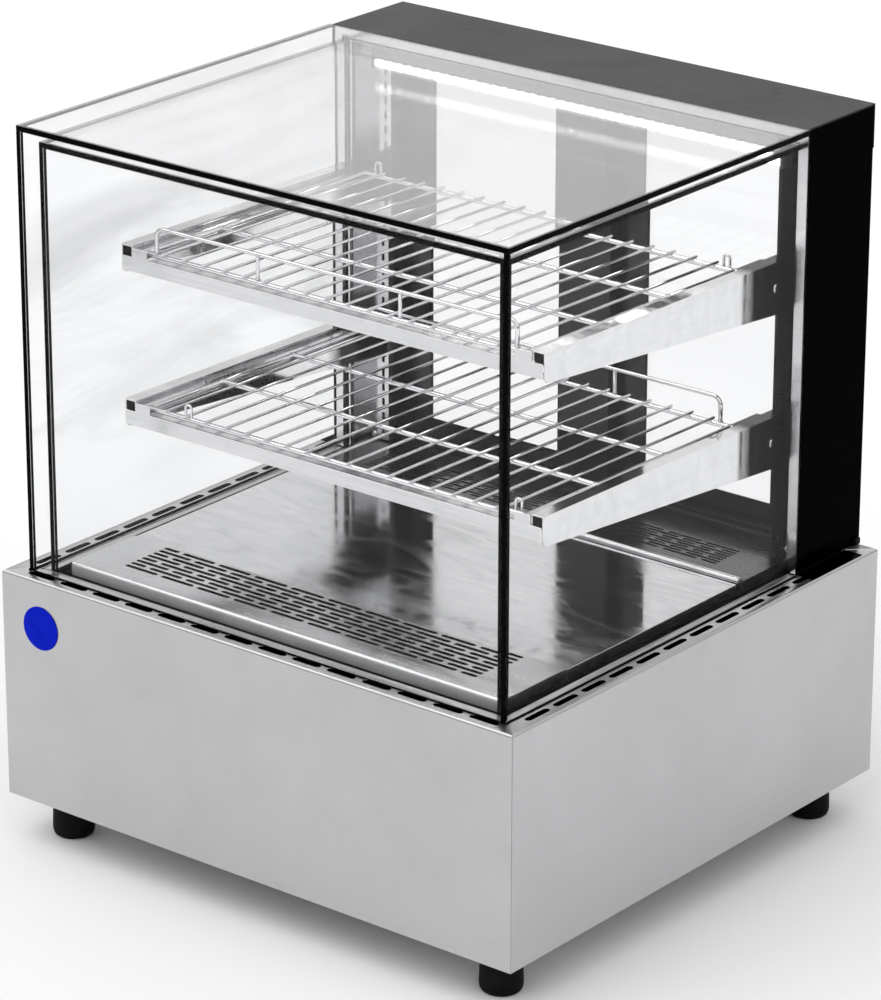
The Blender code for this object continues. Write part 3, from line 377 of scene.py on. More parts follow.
def pane_edge(name, shade, clear):
    """Pane edge painted near black from outside as shade for light lost in the glass; from within,
    part see-through and part painted dark.
    """
    tree = Shader(name)
    grind_and_shade_noise = tree.noise(500.0, detail=3.0, rough=0.6)
    # Painted shade: the edge is near black seen from outside.
    outside = tree.node("BsdfPrincipled", {
        "Base Color": (0.0006, 0.0007, 0.0007),
        "Roughness": tree.remap(grind_and_shade_noise, to=(0.18, 0.34)),
        "Specular IOR Level": 0.02,
        "Normal": tree.bump(grind_and_shade_noise, strength=0.1, distance=0.0002)})
    through = tree.node("BsdfTransparent", {"Color": (clear, clear, clear)})
    dark = tree.node("BsdfDiffuse", {"Color": (0.004, 0.0045, 0.0045)})
    within = tree.mix_shader(tree.remap(grind_and_shade_noise, to=(shade - 0.1, shade + 0.1)), through, dark)
    back = tree.node("NewGeometry").outputs["Backfacing"]
    tree.surface(tree.mix_shader(back, outside, within))
    tree.preview((0.01, 0.01, 0.01))


def light_strip(name, diode_pitch):
    """Frosted diffuser with a brighter spot over every diode."""
    tree = Shader(name)
    phase = tree.math("MULTIPLY", tree.axis("X"), 2 * math.pi / diode_pitch)
    wave = tree.math("SINE", phase)
    frost = tree.noise(800.0, detail=2.0)
    spot = tree.remap(wave, to=(4.0, 16.0), over=(0.0, 1.0), interpolation_type='SMOOTHSTEP')
    power = tree.math("MULTIPLY", spot, tree.remap(frost, to=(0.92, 1.08)))
    tree.principled(Base_Color=(0.86, 0.86, 0.85), Roughness=0.45,
                    Emission_Color=(1.0, 0.985, 0.96), Emission_Strength=power,
                    Normal=tree.bump(frost, strength=0.1, distance=0.0002))
    tree.preview((1.0, 1.0, 1.0))


def glow(name, colour, strength):
    tree = Shader(name)
    frost = tree.noise(900.0, detail=2.0)
    power = tree.remap(frost, to=(strength * 0.85, strength * 1.15))
    tree.principled(Base_Color=colour, Roughness=0.4, Emission_Color=colour,
                    Emission_Strength=power)
    tree.preview(colour)


# ================================================================ materials
# The base panels' flange above FLANGE_Z is painted lighter: a painted highlight.
FLANGE_Z = 0.2692   # height where the base panels turn into their bright flange

steel("steel_front", (0.53, 0.53, 0.538), rough=0.36, streak=0.02, mottle=0.035, bump=0.02,
      rim=(FLANGE_Z, (0.68, 0.68, 0.685), 0.30))
steel("steel_side", (0.535, 0.535, 0.543), rough=0.36, grain="Y", streak=0.02, mottle=0.035,
      bump=0.02, rim=(FLANGE_Z, (0.66, 0.66, 0.665), 0.30))
steel("steel_rear", (0.52, 0.52, 0.525), rough=0.38, streak=0.03, bump=0.03)
steel("steel_rim_strip", (0.62, 0.62, 0.625), grain="Y", streak=0.03, bump=0.02)
steel("steel_bottom", (0.42, 0.42, 0.42), rough=0.45, streak=0.07, mottle=0.08)
mirror_steel("steel_edge", (0.86, 0.86, 0.865), rough=0.16, haze=0.06)
steel("steel_deck_grille", (0.70, 0.70, 0.705), rough=0.22, streak=0.04, mottle=0.07,
      smudge=0.10, bump=0.03)
steel("steel_tray_lip", (0.86, 0.86, 0.865), rough=0.55, streak=0.03, mottle=0.08, bump=0.03,
      aniso=0.0)
mirror_steel("steel_deck_plate", (0.76, 0.76, 0.765), rough=0.06, haze=0.14, streak=0.05,
             wave=0.008, wipe=(-0.16, 0.09))
# Painted shade: the trim's inner band behind working y 457 mm is painted dark grey.
mirror_steel("steel_trim", (0.82, 0.82, 0.825), rough=0.14, haze=0.08,
             inner=(0.1766, (0.26, 0.26, 0.265), 0.0006))
mirror_steel("steel_pilaster", (0.70, 0.70, 0.71), rough=0.16, grain="Z", haze=0.08)
# Painted reflection: the arms darken to near black from working y 399 mm back, standing for the
# black tower mirrored in them.
mirror_steel("steel_arm", (0.84, 0.84, 0.845), rough=0.06, grain="Y", haze=0.09, streak=0.025,
             inner=(0.1180, (0.022, 0.022, 0.023), 0.022))
mirror_steel("steel_arm_edge", (0.95, 0.95, 0.95), rough=0.12, grain="Y", haze=0.05, streak=0.02)
mirror_steel("steel_shelf_rail", (0.76, 0.76, 0.765), rough=0.15, haze=0.08, streak=0.04)
# Painted shade: the pan under the deck and the heater clips are painted dark steel.
steel("steel_pan_painted_dark", (0.16, 0.16, 0.165), streak=0.07, mottle=0.09)
chrome("chrome_wire", (0.86, 0.86, 0.87), rough=0.05)
chrome("chrome_weld", (0.62, 0.62, 0.63), rough=0.18)
lacquer("black_gloss_cover", (0.0003, 0.0003, 0.0004), specular=0.004, dust=0.0003)
lacquer("black_gloss_edge", (0.004, 0.004, 0.0042), rough=0.30, specular=0.15, dust=0.006,
        worn=(0.03, 0.03, 0.03))
lacquer("black_gloss_door", (0.0012, 0.0012, 0.0014), rough=0.05, specular=0.42, dust=0.002,
        orange=0.003)
lacquer("tower_top_paint", (0.012, 0.012, 0.012), rough=0.33, specular=0.42, dust=0.010,
        orange=0.10)
lacquer("black_control_plate", (0.012, 0.012, 0.013), rough=0.28, specular=0.4)
rubber("rubber_black", (0.004, 0.004, 0.0042), rough=0.62, dust=0.010, bump=0.25, specular=0.08)
rubber("silicone_black", (0.0012, 0.0012, 0.0012), rough=0.45, dust=0.002, bump=0.06,
       specular=0.03)
rubber("channel_black", (0.0012, 0.0012, 0.0012), rough=0.5, dust=0.002, bump=0.12,
       specular=0.03)
plastic("plastic_black", (0.016, 0.016, 0.017), rough=0.42)
plastic("plastic_grey", (0.12, 0.12, 0.125), rough=0.45)
plastic("key_white", (0.80, 0.80, 0.78), rough=0.42)
plastic("badge_blue", (0.0002, 0.0100, 0.48), rough=0.30, grain=720.0, bump=0.03, specular=0.03)
plastic("rocker_green", (0.015, 0.34, 0.09), rough=0.26, grain=840.0, bump=0.04, specular=0.6)
steel("aluminium_track", (0.36, 0.362, 0.365), rough=0.38, streak=0.06, bump=0.06, aniso=0.4)
steel("aluminium_dark", (0.10, 0.10, 0.105), rough=0.42, streak=0.06, mottle=0.06)
steel("heater_steel", (0.26, 0.22, 0.18), rough=0.5, streak=0.12, mottle=0.2, smudge=0.15,
      bump=0.3, aniso=0.0, spread=0.2)
steel("brass_pin", (0.78, 0.60, 0.28), rough=0.3, grain="Y")
glass("glass_right", mirror=0.10, smears=0.004)
glass("glass_front", mirror=0.12, smears=0.006)
glass("glass_top", mirror=0.95, smears=0.006)
glass("glass_door", mirror=0.6, smears=0.03)
glass("glass_left", mirror=0.2, smears=0.10, clean=True)
# Painted shade: pane edges are near black from outside; shade sets how much of the view from
# within is painted dark.
pane_edge("glass_edge_painted_dark", shade=0.4, clear=0.6)
pane_edge("glass_foot_edge", shade=0.12, clear=0.85)
pane_edge("glass_post_edge", shade=0.95, clear=0.10)
# Painted shade: the rear tray is painted dark behind working y 398 mm.
mirror_steel("steel_rear_tray", (0.76, 0.76, 0.765), rough=0.16, streak=0.06,
             inner=(0.1176, (0.13, 0.13, 0.132), 0.0006), wipe=(-0.15, 0.10))
# Painted shade: the right pilaster is painted near black where the left one is bright steel.
lacquer("pilaster_painted_shade", (0.0012, 0.0012, 0.0013), rough=0.22, specular=0.06,
        dust=0.002, orange=0.02)
# Painted shade: near black for slot walls and the sheets under the slots.
rubber("slot_shade_black", (0.0008, 0.0008, 0.0008), rough=0.7, dust=0.001, bump=0.1,
       specular=0.0)
light_strip("light_diffuser", diode_pitch=0.0115)
lacquer("display_window", (0.004, 0.001, 0.001), rough=0.08, specular=0.6, dust=0.004,
        orange=0.0)
glow("display_digit", (1.0, 0.05, 0.02), strength=3.0)


# ========================================================= publishing pieces
def publish(name, mesh, mats, slot, body="cabinet", replaces=(), sharp=32.0):
    """Put a mesh in the scene; sharp is the smoothing angle, None for flat faces."""
    mesh.name = name
    for mat in mats:
        mesh.materials.append(MATS[mat])
    if sharp is not None:
        mesh.shade_smooth()
        mesh.set_sharp_from_angle(angle=math.radians(sharp))
    obj = bpy.data.objects.new(name, mesh)
    bpy.context.scene.collection.objects.link(obj)
    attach(obj, body)
    if replaces:
        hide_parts(*replaces)
    return obj


@contextmanager
def part(name, mat, slot, **options):
    """Give an empty shape to draw in and publish it when the block ends."""
    shape = bmesh.new()
    yield shape
    bmesh.ops.recalc_face_normals(shape, faces=shape.faces)
    mesh = bpy.data.meshes.new(name)
    shape.to_mesh(mesh)
    shape.free()
    publish(name, mesh, [mat], slot, **options)


def clean_copy(node):
    """The node's own shape with shared corners and flat faces joined up."""
    shape = bmesh.new()
    shape.from_mesh(NODES[node].data)
    bmesh.ops.remove_doubles(shape, verts=shape.verts, dist=2e-6)
    bmesh.ops.dissolve_limit(shape, angle_limit=math.radians(0.2),
                             use_dissolve_boundaries=False, verts=shape.verts,
                             edges=shape.edges)
    bmesh.ops.recalc_face_normals(shape, faces=shape.faces)
    shape.verts.index_update()
    mesh = bpy.data.meshes.new(node)
    mesh.from_pydata([tuple(v.co) for v in shape.verts], [],
                     [[v.index for v in f.verts] for f in shape.faces])
    shape.free()
    return mesh


def ease(node, mat, slot, width=0.35, edge=None, segments=2):
    """Stand for a node with the same shape, its sharp edges broken."""
    angle = 35.0
    obj = publish(node + "_eased", clean_copy(node), [mat, edge] if edge else [mat], slot,
                  NODES[node]["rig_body"], (node,), sharp=angle)
    bevel = obj.modifiers.new("eased", 'BEVEL')
    bevel.limit_method = 'ANGLE'
    bevel.angle_limit = math.radians(angle)
    bevel.width = width * MM
    bevel.segments = segments
    bevel.use_clamp_overlap = True
    bevel.harden_normals = True
    if edge:
        bevel.material = 1
    return obj


def blacken_slots(obj, x, y, z):
    """Paint the cut walls of the slots inside a region black as painted shade; bevels follow their
    faces.
    """
    mesh = obj.data
    mesh.materials.append(MATS["slot_shade_black"])
    low, high = (at(*corner) for corner in zip(x, y, z))
    for face in mesh.polygons:
        inside = all(low[k] < face.center[k] < high[k] for k in range(3))
        if inside and abs(face.normal.z) < 0.9:
            face.material_index = len(mesh.materials) - 1
    obj.modifiers["eased"].material = -1


def keep(node, mat):
    """Use a node's own mesh with a new material."""
    obj = NODES[node]
    obj.data.materials.clear()
    obj.data.materials.append(MATS[mat])


# ============================================================ drawing shapes
def upright(axis):
    """A direction well off the axis to square its frame by."""
    return Vector((0, 0, 1)) if abs(axis.z) < 0.9 else Vector((1, 0, 0))


def square_frame(axis):
    """Unit axis and two directions square to it."""
    normal = Vector(axis).normalized()
    across = normal.cross(upright(normal)).normalized()
    return normal, across, normal.cross(across)


def circle(shape, centre, across, other, radius, steps):
    ring = []
    for k in range(steps):
        angle = 2 * math.pi * k / steps
        spoke = (across * math.cos(angle) + other * math.sin(angle)) * radius
        ring.append(shape.verts.new(at(*(centre + spoke))))
    return ring


def bridge(shape, rings):
    """Join rings in turn; a ring of one vertex is a pole."""
    for a, b in zip(rings, rings[1:]):
        steps = max(len(a), len(b))
        for k in range(steps):
            j = (k + 1) % steps
            if len(a) == 1:
                shape.faces.new((a[0], b[j], b[k]))
            elif len(b) == 1:
                shape.faces.new((a[k], a[j], b[0]))
            else:
                shape.faces.new((a[k], a[j], b[j], b[k]))


def sweep(shape, points, radius, sides=12, round_ends=True, lean=False):
    """Round bar along a path; lean lets it fall with the shelves."""
    path = [Vector(point) for point in points]
    if lean:
        for point in path:
            point.z -= shelf_drop(point.y)
    last = len(path) - 1
    tangents = []
    for i in range(len(path)):
        tangent = Vector((0, 0, 0))
        if i:
            tangent += (path[i] - path[i - 1]).normalized()
        if i < last:
            tangent += (path[i + 1] - path[i]).normalized()
        tangents.append(tangent.normalized())
    # Stations: path index, shift along the path, ring radius.
    nose = []
    if round_ends:
        nose = [(radius * math.sin(math.radians(a)), radius * math.cos(math.radians(a)))
                for a in (25, 50, 75)]
    stations = [(0, -shift, size) for shift, size in reversed(nose)]
    stations += [(i, 0.0, radius) for i in range(len(path))]
    stations += [(last, shift, size) for shift, size in nose]
    start = upright(tangents[0])
    across = (start - tangents[0] * start.dot(tangents[0])).normalized()
    rings = []
    for i, shift, size in stations:
        tangent = tangents[i]
        across = (across - tangent * across.dot(tangent)).normalized()
        rings.append(circle(shape, path[i] + tangent * shift, across, tangent.cross(across),
                            size, sides))
    bridge(shape, rings)
    shape.faces.new(tuple(reversed(rings[0])))
    shape.faces.new(tuple(rings[-1]))


def turn(shape, centre, axis, profile, steps):
    """Revolve (radius, height) pairs about an axis through centre."""
    normal, across, other = square_frame(axis)
    rings = []
    for radius, height in profile:
        middle = Vector(centre) + normal * height
        if radius == 0.0:
            rings.append([shape.verts.new(at(*middle))])
        else:
            rings.append(circle(shape, middle, across, other, radius, steps))
    bridge(shape, rings)


def block(shape, x, y, z, chamfer):
    """Box between limits with eased edges."""
    low, high = (at(*corner) for corner in zip(x, y, z))
    made = bmesh.ops.create_cube(shape, size=1.0)["verts"]
    for vert in made:
        vert.co = Vector([low[k] if vert.co[k] < 0 else high[k] for k in range(3)])
    edges = list({edge for vert in made for edge in vert.link_edges})
    bmesh.ops.bevel(shape, geom=edges, offset=chamfer * MM, segments=2, affect='EDGES',
                    profile=0.5, clamp_overlap=True)


def side_blocks(shape, x, y, z, chamfer):
    """The same block on the left and on the right; x is given for the right."""
    for side in SIDES:
        block(shape, sorted((side * x[0], side * x[1])), y, z, chamfer)


# Share of the radius and of the height, from the rim of a screw head to its middle.
SCREW_PROFILE = ((1.0, 0.0), (1.0, 0.35), (0.93, 0.68), (0.78, 0.88), (0.60, 0.97), (0.46, 1.0),
                 (0.34, 1.0), (0.22, 1.0), (0.10, 1.0))


def screw_head(shape, centre, axis, radius, height):
    """Cross-recess pan head, turned at random."""
    normal, across, other = square_frame(axis)
    steps = 32
    slot_half = 0.17 * radius
    tilt = RANDOM.uniform(0, math.pi / 2)
    cos, sin = math.cos(tilt), math.sin(tilt)
    rings = []
    for reach, level in SCREW_PROFILE:
        ring = []
        for i in range(steps):
            angle = 2 * math.pi * i / steps
            p = reach * radius * math.cos(angle)
            q = reach * radius * math.sin(angle)
            recessed = (abs(p) < slot_half or abs(q) < slot_half) and reach <= 0.6
            rise = height * (level - (0.55 if recessed else 0.0))
            spoke = across * (p * cos - q * sin) + other * (p * sin + q * cos)
            ring.append(shape.verts.new(at(*(Vector(centre) + spoke + normal * rise))))
        rings.append(ring)
    bridge(shape, rings)
    shape.faces.new(tuple(rings[-1]))
    shape.faces.new(tuple(reversed(rings[0])))


def bent(points, radius, steps=8):
    """Straight runs joined by round right-angle bends."""
    out = [Vector(points[0])]
    for a, b, c in zip(points, points[1:], points[2:]):
        a, b, c = Vector(a), Vector(b), Vector(c)
        back, ahead = (a - b).normalized(), (c - b).normalized()
        centre = b + (back + ahead) * radius
        for i in range(steps + 1):
            angle = math.pi / 2 * i / steps
            out.append(centre - ahead * radius * math.cos(angle)
                       - back * radius * math.sin(angle))
    out.append(Vector(points[-1]))
    return out


# ============================================================== sheet parts
def base_panels():
    front = ease("base_front_panel", "steel_front", BRUSHED, width=0.45)
    left = ease("base_left_panel", "steel_side", BRUSHED, width=0.45)
    right = ease("base_right_panel", "steel_side", BRUSHED, width=0.45)
    # Painted shade: the rim's slot walls are painted black.
    blacken_slots(front, x=(-285.0, 285.0), y=(7.2, 16.8), z=RIM_SLOT_Z)
    blacken_slots(left, x=(-292.8, -283.2), y=(40.0, 535.0), z=RIM_SLOT_Z)
    blacken_slots(right, x=(283.2, 292.8), y=(40.0, 535.0), z=RIM_SLOT_Z)
    ease("base_rear_panel", "steel_rear", BRUSHED, edge="steel_edge")
    keep("base_bottom_plate", "steel_bottom")


def tower_sheets():
    ease("tower_left_cover", "black_gloss_cover", GLOSS, width=0.4, edge="black_gloss_edge")
    ease("tower_right_cover", "black_gloss_cover", GLOSS, width=0.4, edge="black_gloss_edge")
    ease("tower_top_cover", "tower_top_paint", "tower_top_paint", width=0.4,
         edge="black_gloss_edge")
    ease("tower_front_trim", "steel_trim", POLISHED, width=0.5, edge="steel_arm_edge")
    ease("pilaster_left", "steel_pilaster", POLISHED, width=0.25)
    # The right pilaster takes painted shade, near black.
    ease("pilaster_right", "pilaster_painted_shade", POLISHED, width=0.25)


def deck():
    slots_x, slots_z = (-215.0, 215.0), (226.0, 250.0)
    front = ease("deck_front_grille", "steel_deck_grille", BRUSHED, width=0.3,
                 edge="steel_tray_lip")
    # The front-facing lip of the front grille takes the lip finish.
    for face in front.data.polygons:
        forward = face.normal.y < -0.9 and abs(face.center.x) < 0.4
        if forward and face.center.y < at(0, 66, 0).y:
            face.material_index = 1
    # Painted shade: the grilles' slot walls are painted black.
    blacken_slots(front, x=slots_x, y=(69.0, 132.0), z=slots_z)
    ease("deck_plate", "steel_deck_plate", POLISHED, width=0.5, edge="steel_edge")
    rear = ease("deck_rear_grille", "steel_rear_tray", BRUSHED, width=0.25)
    blacken_slots(rear, x=slots_x, y=(414.0, 459.5), z=slots_z)
    keep("air_pan", "steel_pan_painted_dark")


def shelf_supports():
    for level in SHELF_TOPS:
        for side in ("left", "right"):
            ease(f"{level}_arm_{side}", "steel_arm", POLISHED, width=0.3, edge="steel_arm_edge")
        ease(f"{level}_shelf_rail", "steel_shelf_rail", POLISHED, width=0.3,
             edge="steel_arm_edge")


def tracks_and_doors():
    ease("door_track_lower", "aluminium_dark", TRACK, width=0.3)
    ease("door_track_upper", "aluminium_track", TRACK, width=0.3)
    ease("led_housing", "aluminium_track", TRACK, width=0.3)
    ease("inner_glass_channel", "channel_black", RUBBER, width=0.4)
    for side in ("left", "right"):
        ease(f"door_{side}_frame", "black_gloss_door", GLOSS, width=0.4,
             edge="black_gloss_edge")
        ease(f"door_{side}_handle", "plastic_black", PLASTIC, width=0.4)


def controls():
    ease("control_plate", "black_control_plate", GLOSS, width=0.3)
    ease("thermostat", "plastic_black", PLASTIC, width=0.4)
    for node, mat in (("thermostat_key_up", "key_white"), ("thermostat_key_down", "key_white"),
                      ("power_rocker", "rocker_green"), ("light_rocker", "plastic_black")):
        ease(node, mat, mat, width=0.6, segments=3)
    ease("mains_inlet", "plastic_black", PLASTIC, width=0.3)
    ease("fan_housing", "plastic_black", PLASTIC, width=0.4)
    ease("fan_rotor", "plastic_black", PLASTIC, width=0.3)
    keep("led_diffuser", "light_diffuser")


# ==================================================================== glass
def pane(node, mat):
    """Pane with its own finish on the two large faces, and edges painted dark as shade."""
    mesh = clean_copy(node)
    low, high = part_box(node)
    size = high - low
    thin = min(range(3), key=lambda axis: size[axis])
    publish(node + "_pane", mesh,
            [mat, "glass_edge_painted_dark", "glass_foot_edge", "glass_post_edge"], "glass_clear",
            NODES[node]["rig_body"], (node,), sharp=None)
    for face in mesh.polygons:
        if abs(face.normal[thin]) > 0.9:
            face.material_index = 0
        elif face.normal.z < -0.9 and node.startswith("outer"):
            face.material_index = 2
        elif abs(face.normal.z) < 0.5 and node.endswith(("front", "left")):
            face.material_index = 3
        else:
            face.material_index = 1


def panes():
    for box in ("outer", "inner"):
        for face in ("left", "right", "front", "top"):
            pane(f"{box}_glass_{face}", f"glass_{face}")
    for side in ("left", "right"):
        pane(f"door_{side}_glass", "glass_door")


def glass_beads():
    """Black bonding beads at the feet of the outer panes and in both boxes' corners."""
    x, front_y, back_y, z = 280.2, 15.7, 451.0, BASE_H + 0.55
    with part("outer_glass_foot_bead", "silicone_black", RUBBER) as shape:
        corners = [(-x, back_y, z), (-x, front_y, z), (x, front_y, z), (x, back_y, z)]
        sweep(shape, bent(corners, radius=1.2, steps=4), radius=0.7, sides=8)
    z = 648.6
    with part("outer_glass_corner_beads", "silicone_black", RUBBER) as shape:
        for side in SIDES:
            x = side * 274.3
            sweep(shape, [(x, 21.6, 227.5), (x, 21.6, z)], radius=0.4, sides=8)
            x = side * 274.8
            sweep(shape, [(x, 22.0, z), (x, back_y, z)], radius=0.5, sides=8)
        sweep(shape, [(-274.0, 21.7, z), (274.0, 21.7, z)], radius=0.7, sides=8)
    front_y, z = 37.6, 632.6
    with part("inner_glass_corner_beads", "silicone_black", RUBBER) as shape:
        for side in SIDES:
            x = side * 259.9
            sweep(shape, [(x, front_y, 215.0), (x, front_y, 632.4)], radius=0.75, sides=8)
            x = side * 260.0
            sweep(shape, [(x, 38.0, z), (x, 455.0, z)], radius=0.6, sides=8)
        sweep(shape, [(-259.6, front_y, z), (259.6, front_y, z)], radius=0.6, sides=8)


# ========================================================== racks and guards
ROD_R, WIRE_R = 2.5, 1.4
RACK_X = (-214.5, 218.5)
RACK_WIRES_Y = (ARM_FRONT, 427.0)
SIDE_RODS_X = (RACK_X[0] + 2.0, RACK_X[1] - 2.0)
RODS_Y = (118.0, 219.0, 320.0, 421.0)
WIRES_X = [RACK_X[0] + (RACK_X[1] - RACK_X[0]) * i / 18 for i in range(1, 18)]
GUARD_ENDS_X = (-201.0, 205.0)
GUARD_POSTS_X = (-80.0, 84.0)


def weld(shape, x, y, z, half_sizes):
    """Flattened bead on a sloping shelf."""
    scale = Matrix.Diagonal((*(half * MM for half in half_sizes), 1.0))
    bmesh.ops.create_icosphere(shape, subdivisions=2, radius=1.0,
                               matrix=Matrix.Translation(at(x, y, z - shelf_drop(y))) @ scale)


def rack_and_guard(level, top):
    """Wire shelf and the guard wire over its first rod; the lower one is reversed in depth."""
    reversed_depth = level == "lower"
    body = f"{level}_rack_group"

    def place(y):
        return 539.0 - y if reversed_depth else y

    rod_z = top - 8.3 + 0.3 + ROD_R
    wire_z = rod_z + ROD_R + WIRE_R - 0.7
    with part(f"{level}_rack_wires", "chrome_wire", CHROME, body=body,
              replaces=(f"{level}_rack",), sharp=60) as shape:
        for y in RODS_Y:
            sweep(shape, [(x, place(y), rod_z) for x in RACK_X], ROD_R, sides=16, lean=True)
        for x in SIDE_RODS_X:
            sweep(shape, [(x, place(y), rod_z + 0.15) for y in (116.0, 423.0)], radius=2.4,
                  sides=16, lean=True)
        for x in WIRES_X:
            sway = RANDOM.uniform(-0.25, 0.25)
            sweep(shape, [(x, place(RACK_WIRES_Y[0] + WIRE_R), wire_z),
                          (x + sway, place(270.0), wire_z - 0.05),
                          (x, place(RACK_WIRES_Y[1] - WIRE_R), wire_z)], WIRE_R, lean=True)
        # Small upright loops on the last rod.
        foot_z, head_z, y = rod_z + 0.4, rod_z + 13.6, place(RODS_Y[-1])
        for x in (-166.0 if reversed_depth else -195.0, 208.0):
            near, far = x - 3.4, x + 3.4
            loop = [(near, y, foot_z), (near, y, head_z), (far, y, head_z), (far, y, foot_z)]
            sweep(shape, bent(loop, radius=2.8, steps=6), radius=1.3, lean=True)
    with part(f"{level}_rack_welds", "chrome_weld", CHROME, body=body, sharp=80) as shape:
        for x in WIRES_X:
            for y in RODS_Y:
                weld(shape, x, place(y), rod_z + 2.35, half_sizes=(1.9, 2.1, 0.95))
        for x in SIDE_RODS_X:
            for y in RODS_Y:
                weld(shape, x, place(y), rod_z + 1.2, half_sizes=(3.0, 3.0, 1.9))

    y = place(RODS_Y[0])
    foot_z = rod_z + ROD_R + 0.4
    rail_z = top + 21.0
    left, right = GUARD_ENDS_X
    with part(f"{level}_guard_wires", "chrome_wire", CHROME, body=body,
              replaces=(f"{level}_guard_rail",), sharp=60) as shape:
        hoop = [(left, y, foot_z), (left, y, rail_z), (right, y, rail_z), (right, y, foot_z)]
        sweep(shape, bent(hoop, radius=9.0, steps=10), radius=2.0, sides=16, lean=True)
        for x in GUARD_POSTS_X:
            sweep(shape, [(x, y, foot_z), (x, y, rail_z - 1.2)], radius=1.7, sides=14,
                  lean=True)
    with part(f"{level}_guard_welds", "chrome_weld", CHROME, body=body, sharp=80) as shape:
        for x in (left, *GUARD_POSTS_X, right):
            weld(shape, x, y, foot_z + 0.15, half_sizes=(2.9, 2.6, 1.0))
        for x in GUARD_POSTS_X:
            weld(shape, x, y, rail_z - 1.0, half_sizes=(2.3, 2.2, 1.5))


# =========================================================== feet and badge
# Radius, height from the base's bottom edge.
FOOT_PROFILE = [
    (0.0, -0.3), (17.2, -0.3), (18.2, -0.9), (18.6, -2.0), (19.0, -7.0), (19.2, -9.0),
    (18.7, -9.6), (18.7, -10.6), (19.3, -11.2), (19.8, -28.0), (20.0, -34.0), (20.0, -37.0),
    (19.5, -40.2), (18.4, -42.4), (16.9, -43.6), (15.5, -44.0), (11.0, -44.0), (10.4, -43.2),
    (8.0, -42.6), (0.0, -42.4)]
# Radius, height forward of the front panel.
BADGE_PROFILE = [
    (0.0, 0.3), (21.0, 0.3), (21.3, 0.45), (21.3, 0.75), (21.0, 0.98), (20.3, 1.08),
    (14.0, 1.15), (7.0, 1.19), (0.0, 1.2)]


def feet():
    for x, side in ((-257.0, "left"), (257.0, "right")):
        for y, end in ((42.0, "front"), (516.0, "rear")):
            foot = f"foot_{end}_{side}"
            with part(foot + "_turned", "rubber_black", RUBBER, replaces=(foot,)) as shape:
                turn(shape, (x, y, 0.0), UP, FOOT_PROFILE, steps=56)


def badge():
    with part("maker_badge_disc", "badge_blue", "badge_blue",
              replaces=("maker_badge",)) as shape:
        turn(shape, (-252.0, 0.0, 179.5), FORWARD, BADGE_PROFILE, steps=72)


# =========================================================== heater and fan
HEATER_X, HEATER_Z = 195.0, 188.0            # half length of the runs, height
HEATER_RUNS_Y = (90.0, 130.0, 390.0, 425.0)
FAN_Y = 250.0


def heater():
    path = [(side * HEATER_X, y, HEATER_Z)
            for y, start in zip(HEATER_RUNS_Y, (-1, 1, -1, 1)) for side in (start, -start)]
    with part("heater_element_tube", "heater_steel", "heater_steel",
              replaces=("heater_element",), sharp=60) as shape:
        sweep(shape, bent(path, radius=14.0), radius=4.0, sides=16)
    # Each clip is a foot plate, two legs and a bridge over the tube.
    legs_z = (152.6, 193.0)
    with part("heater_clips", "steel_pan_painted_dark", BRUSHED) as shape:
        for x in (-120.0, 0.0, 120.0):
            clip_x = (x - 5, x + 5)
            for y in HEATER_RUNS_Y:
                block(shape, (x - 6, x + 6), (y - 8, y + 8), (151.6, 153.0), chamfer=0.3)
                block(shape, clip_x, (y - 6.4, y - 5.2), legs_z, chamfer=0.25)
                block(shape, clip_x, (y + 5.2, y + 6.4), legs_z, chamfer=0.25)
                block(shape, clip_x, (y - 6.4, y + 6.4), (192.4, 193.6), chamfer=0.25)


def fan_guard():
    """Seven wire rings and four spokes."""
    def polar(radius, angle, z):
        return (radius * math.cos(angle), FAN_Y + radius * math.sin(angle), z)

    with part("fan_guard", "chrome_wire", CHROME, sharp=60) as shape:
        for k in range(1, 8):
            ring = [polar(7.0 + 6.6 * k, 2 * math.pi * i / 48, 152.9) for i in range(49)]
            sweep(shape, ring, radius=0.9, sides=8, round_ends=False)
        for degrees in (45, 135, 225, 315):
            angle = math.radians(degrees)
            sweep(shape, [polar(12, angle, 154.0), polar(66, angle, 153.6)], radius=1.1,
                  sides=8)


# =================================================================== screws
REAR_SCREWS_XZ = ((-285.0, 14.0), (285.0, 14.0), (-285.0, 120.0), (285.0, 120.0),
                  (-150.0, 14.0), (150.0, 14.0), (0.0, 14.0), (-285.0, 205.0),
                  (285.0, 205.0), (0.0, 205.0))
BOTTOM_SCREWS_XY = ((-285.0, 20.0), (285.0, 20.0), (-285.0, 277.0), (285.0, 277.0),
                    (-285.0, 535.0), (285.0, 535.0), (0.0, 20.0), (0.0, 535.0))
CONTROL_SCREWS_XZ = ((-230.5, 128.5), (-49.5, 128.5), (-230.5, 187.5), (-49.5, 187.5))


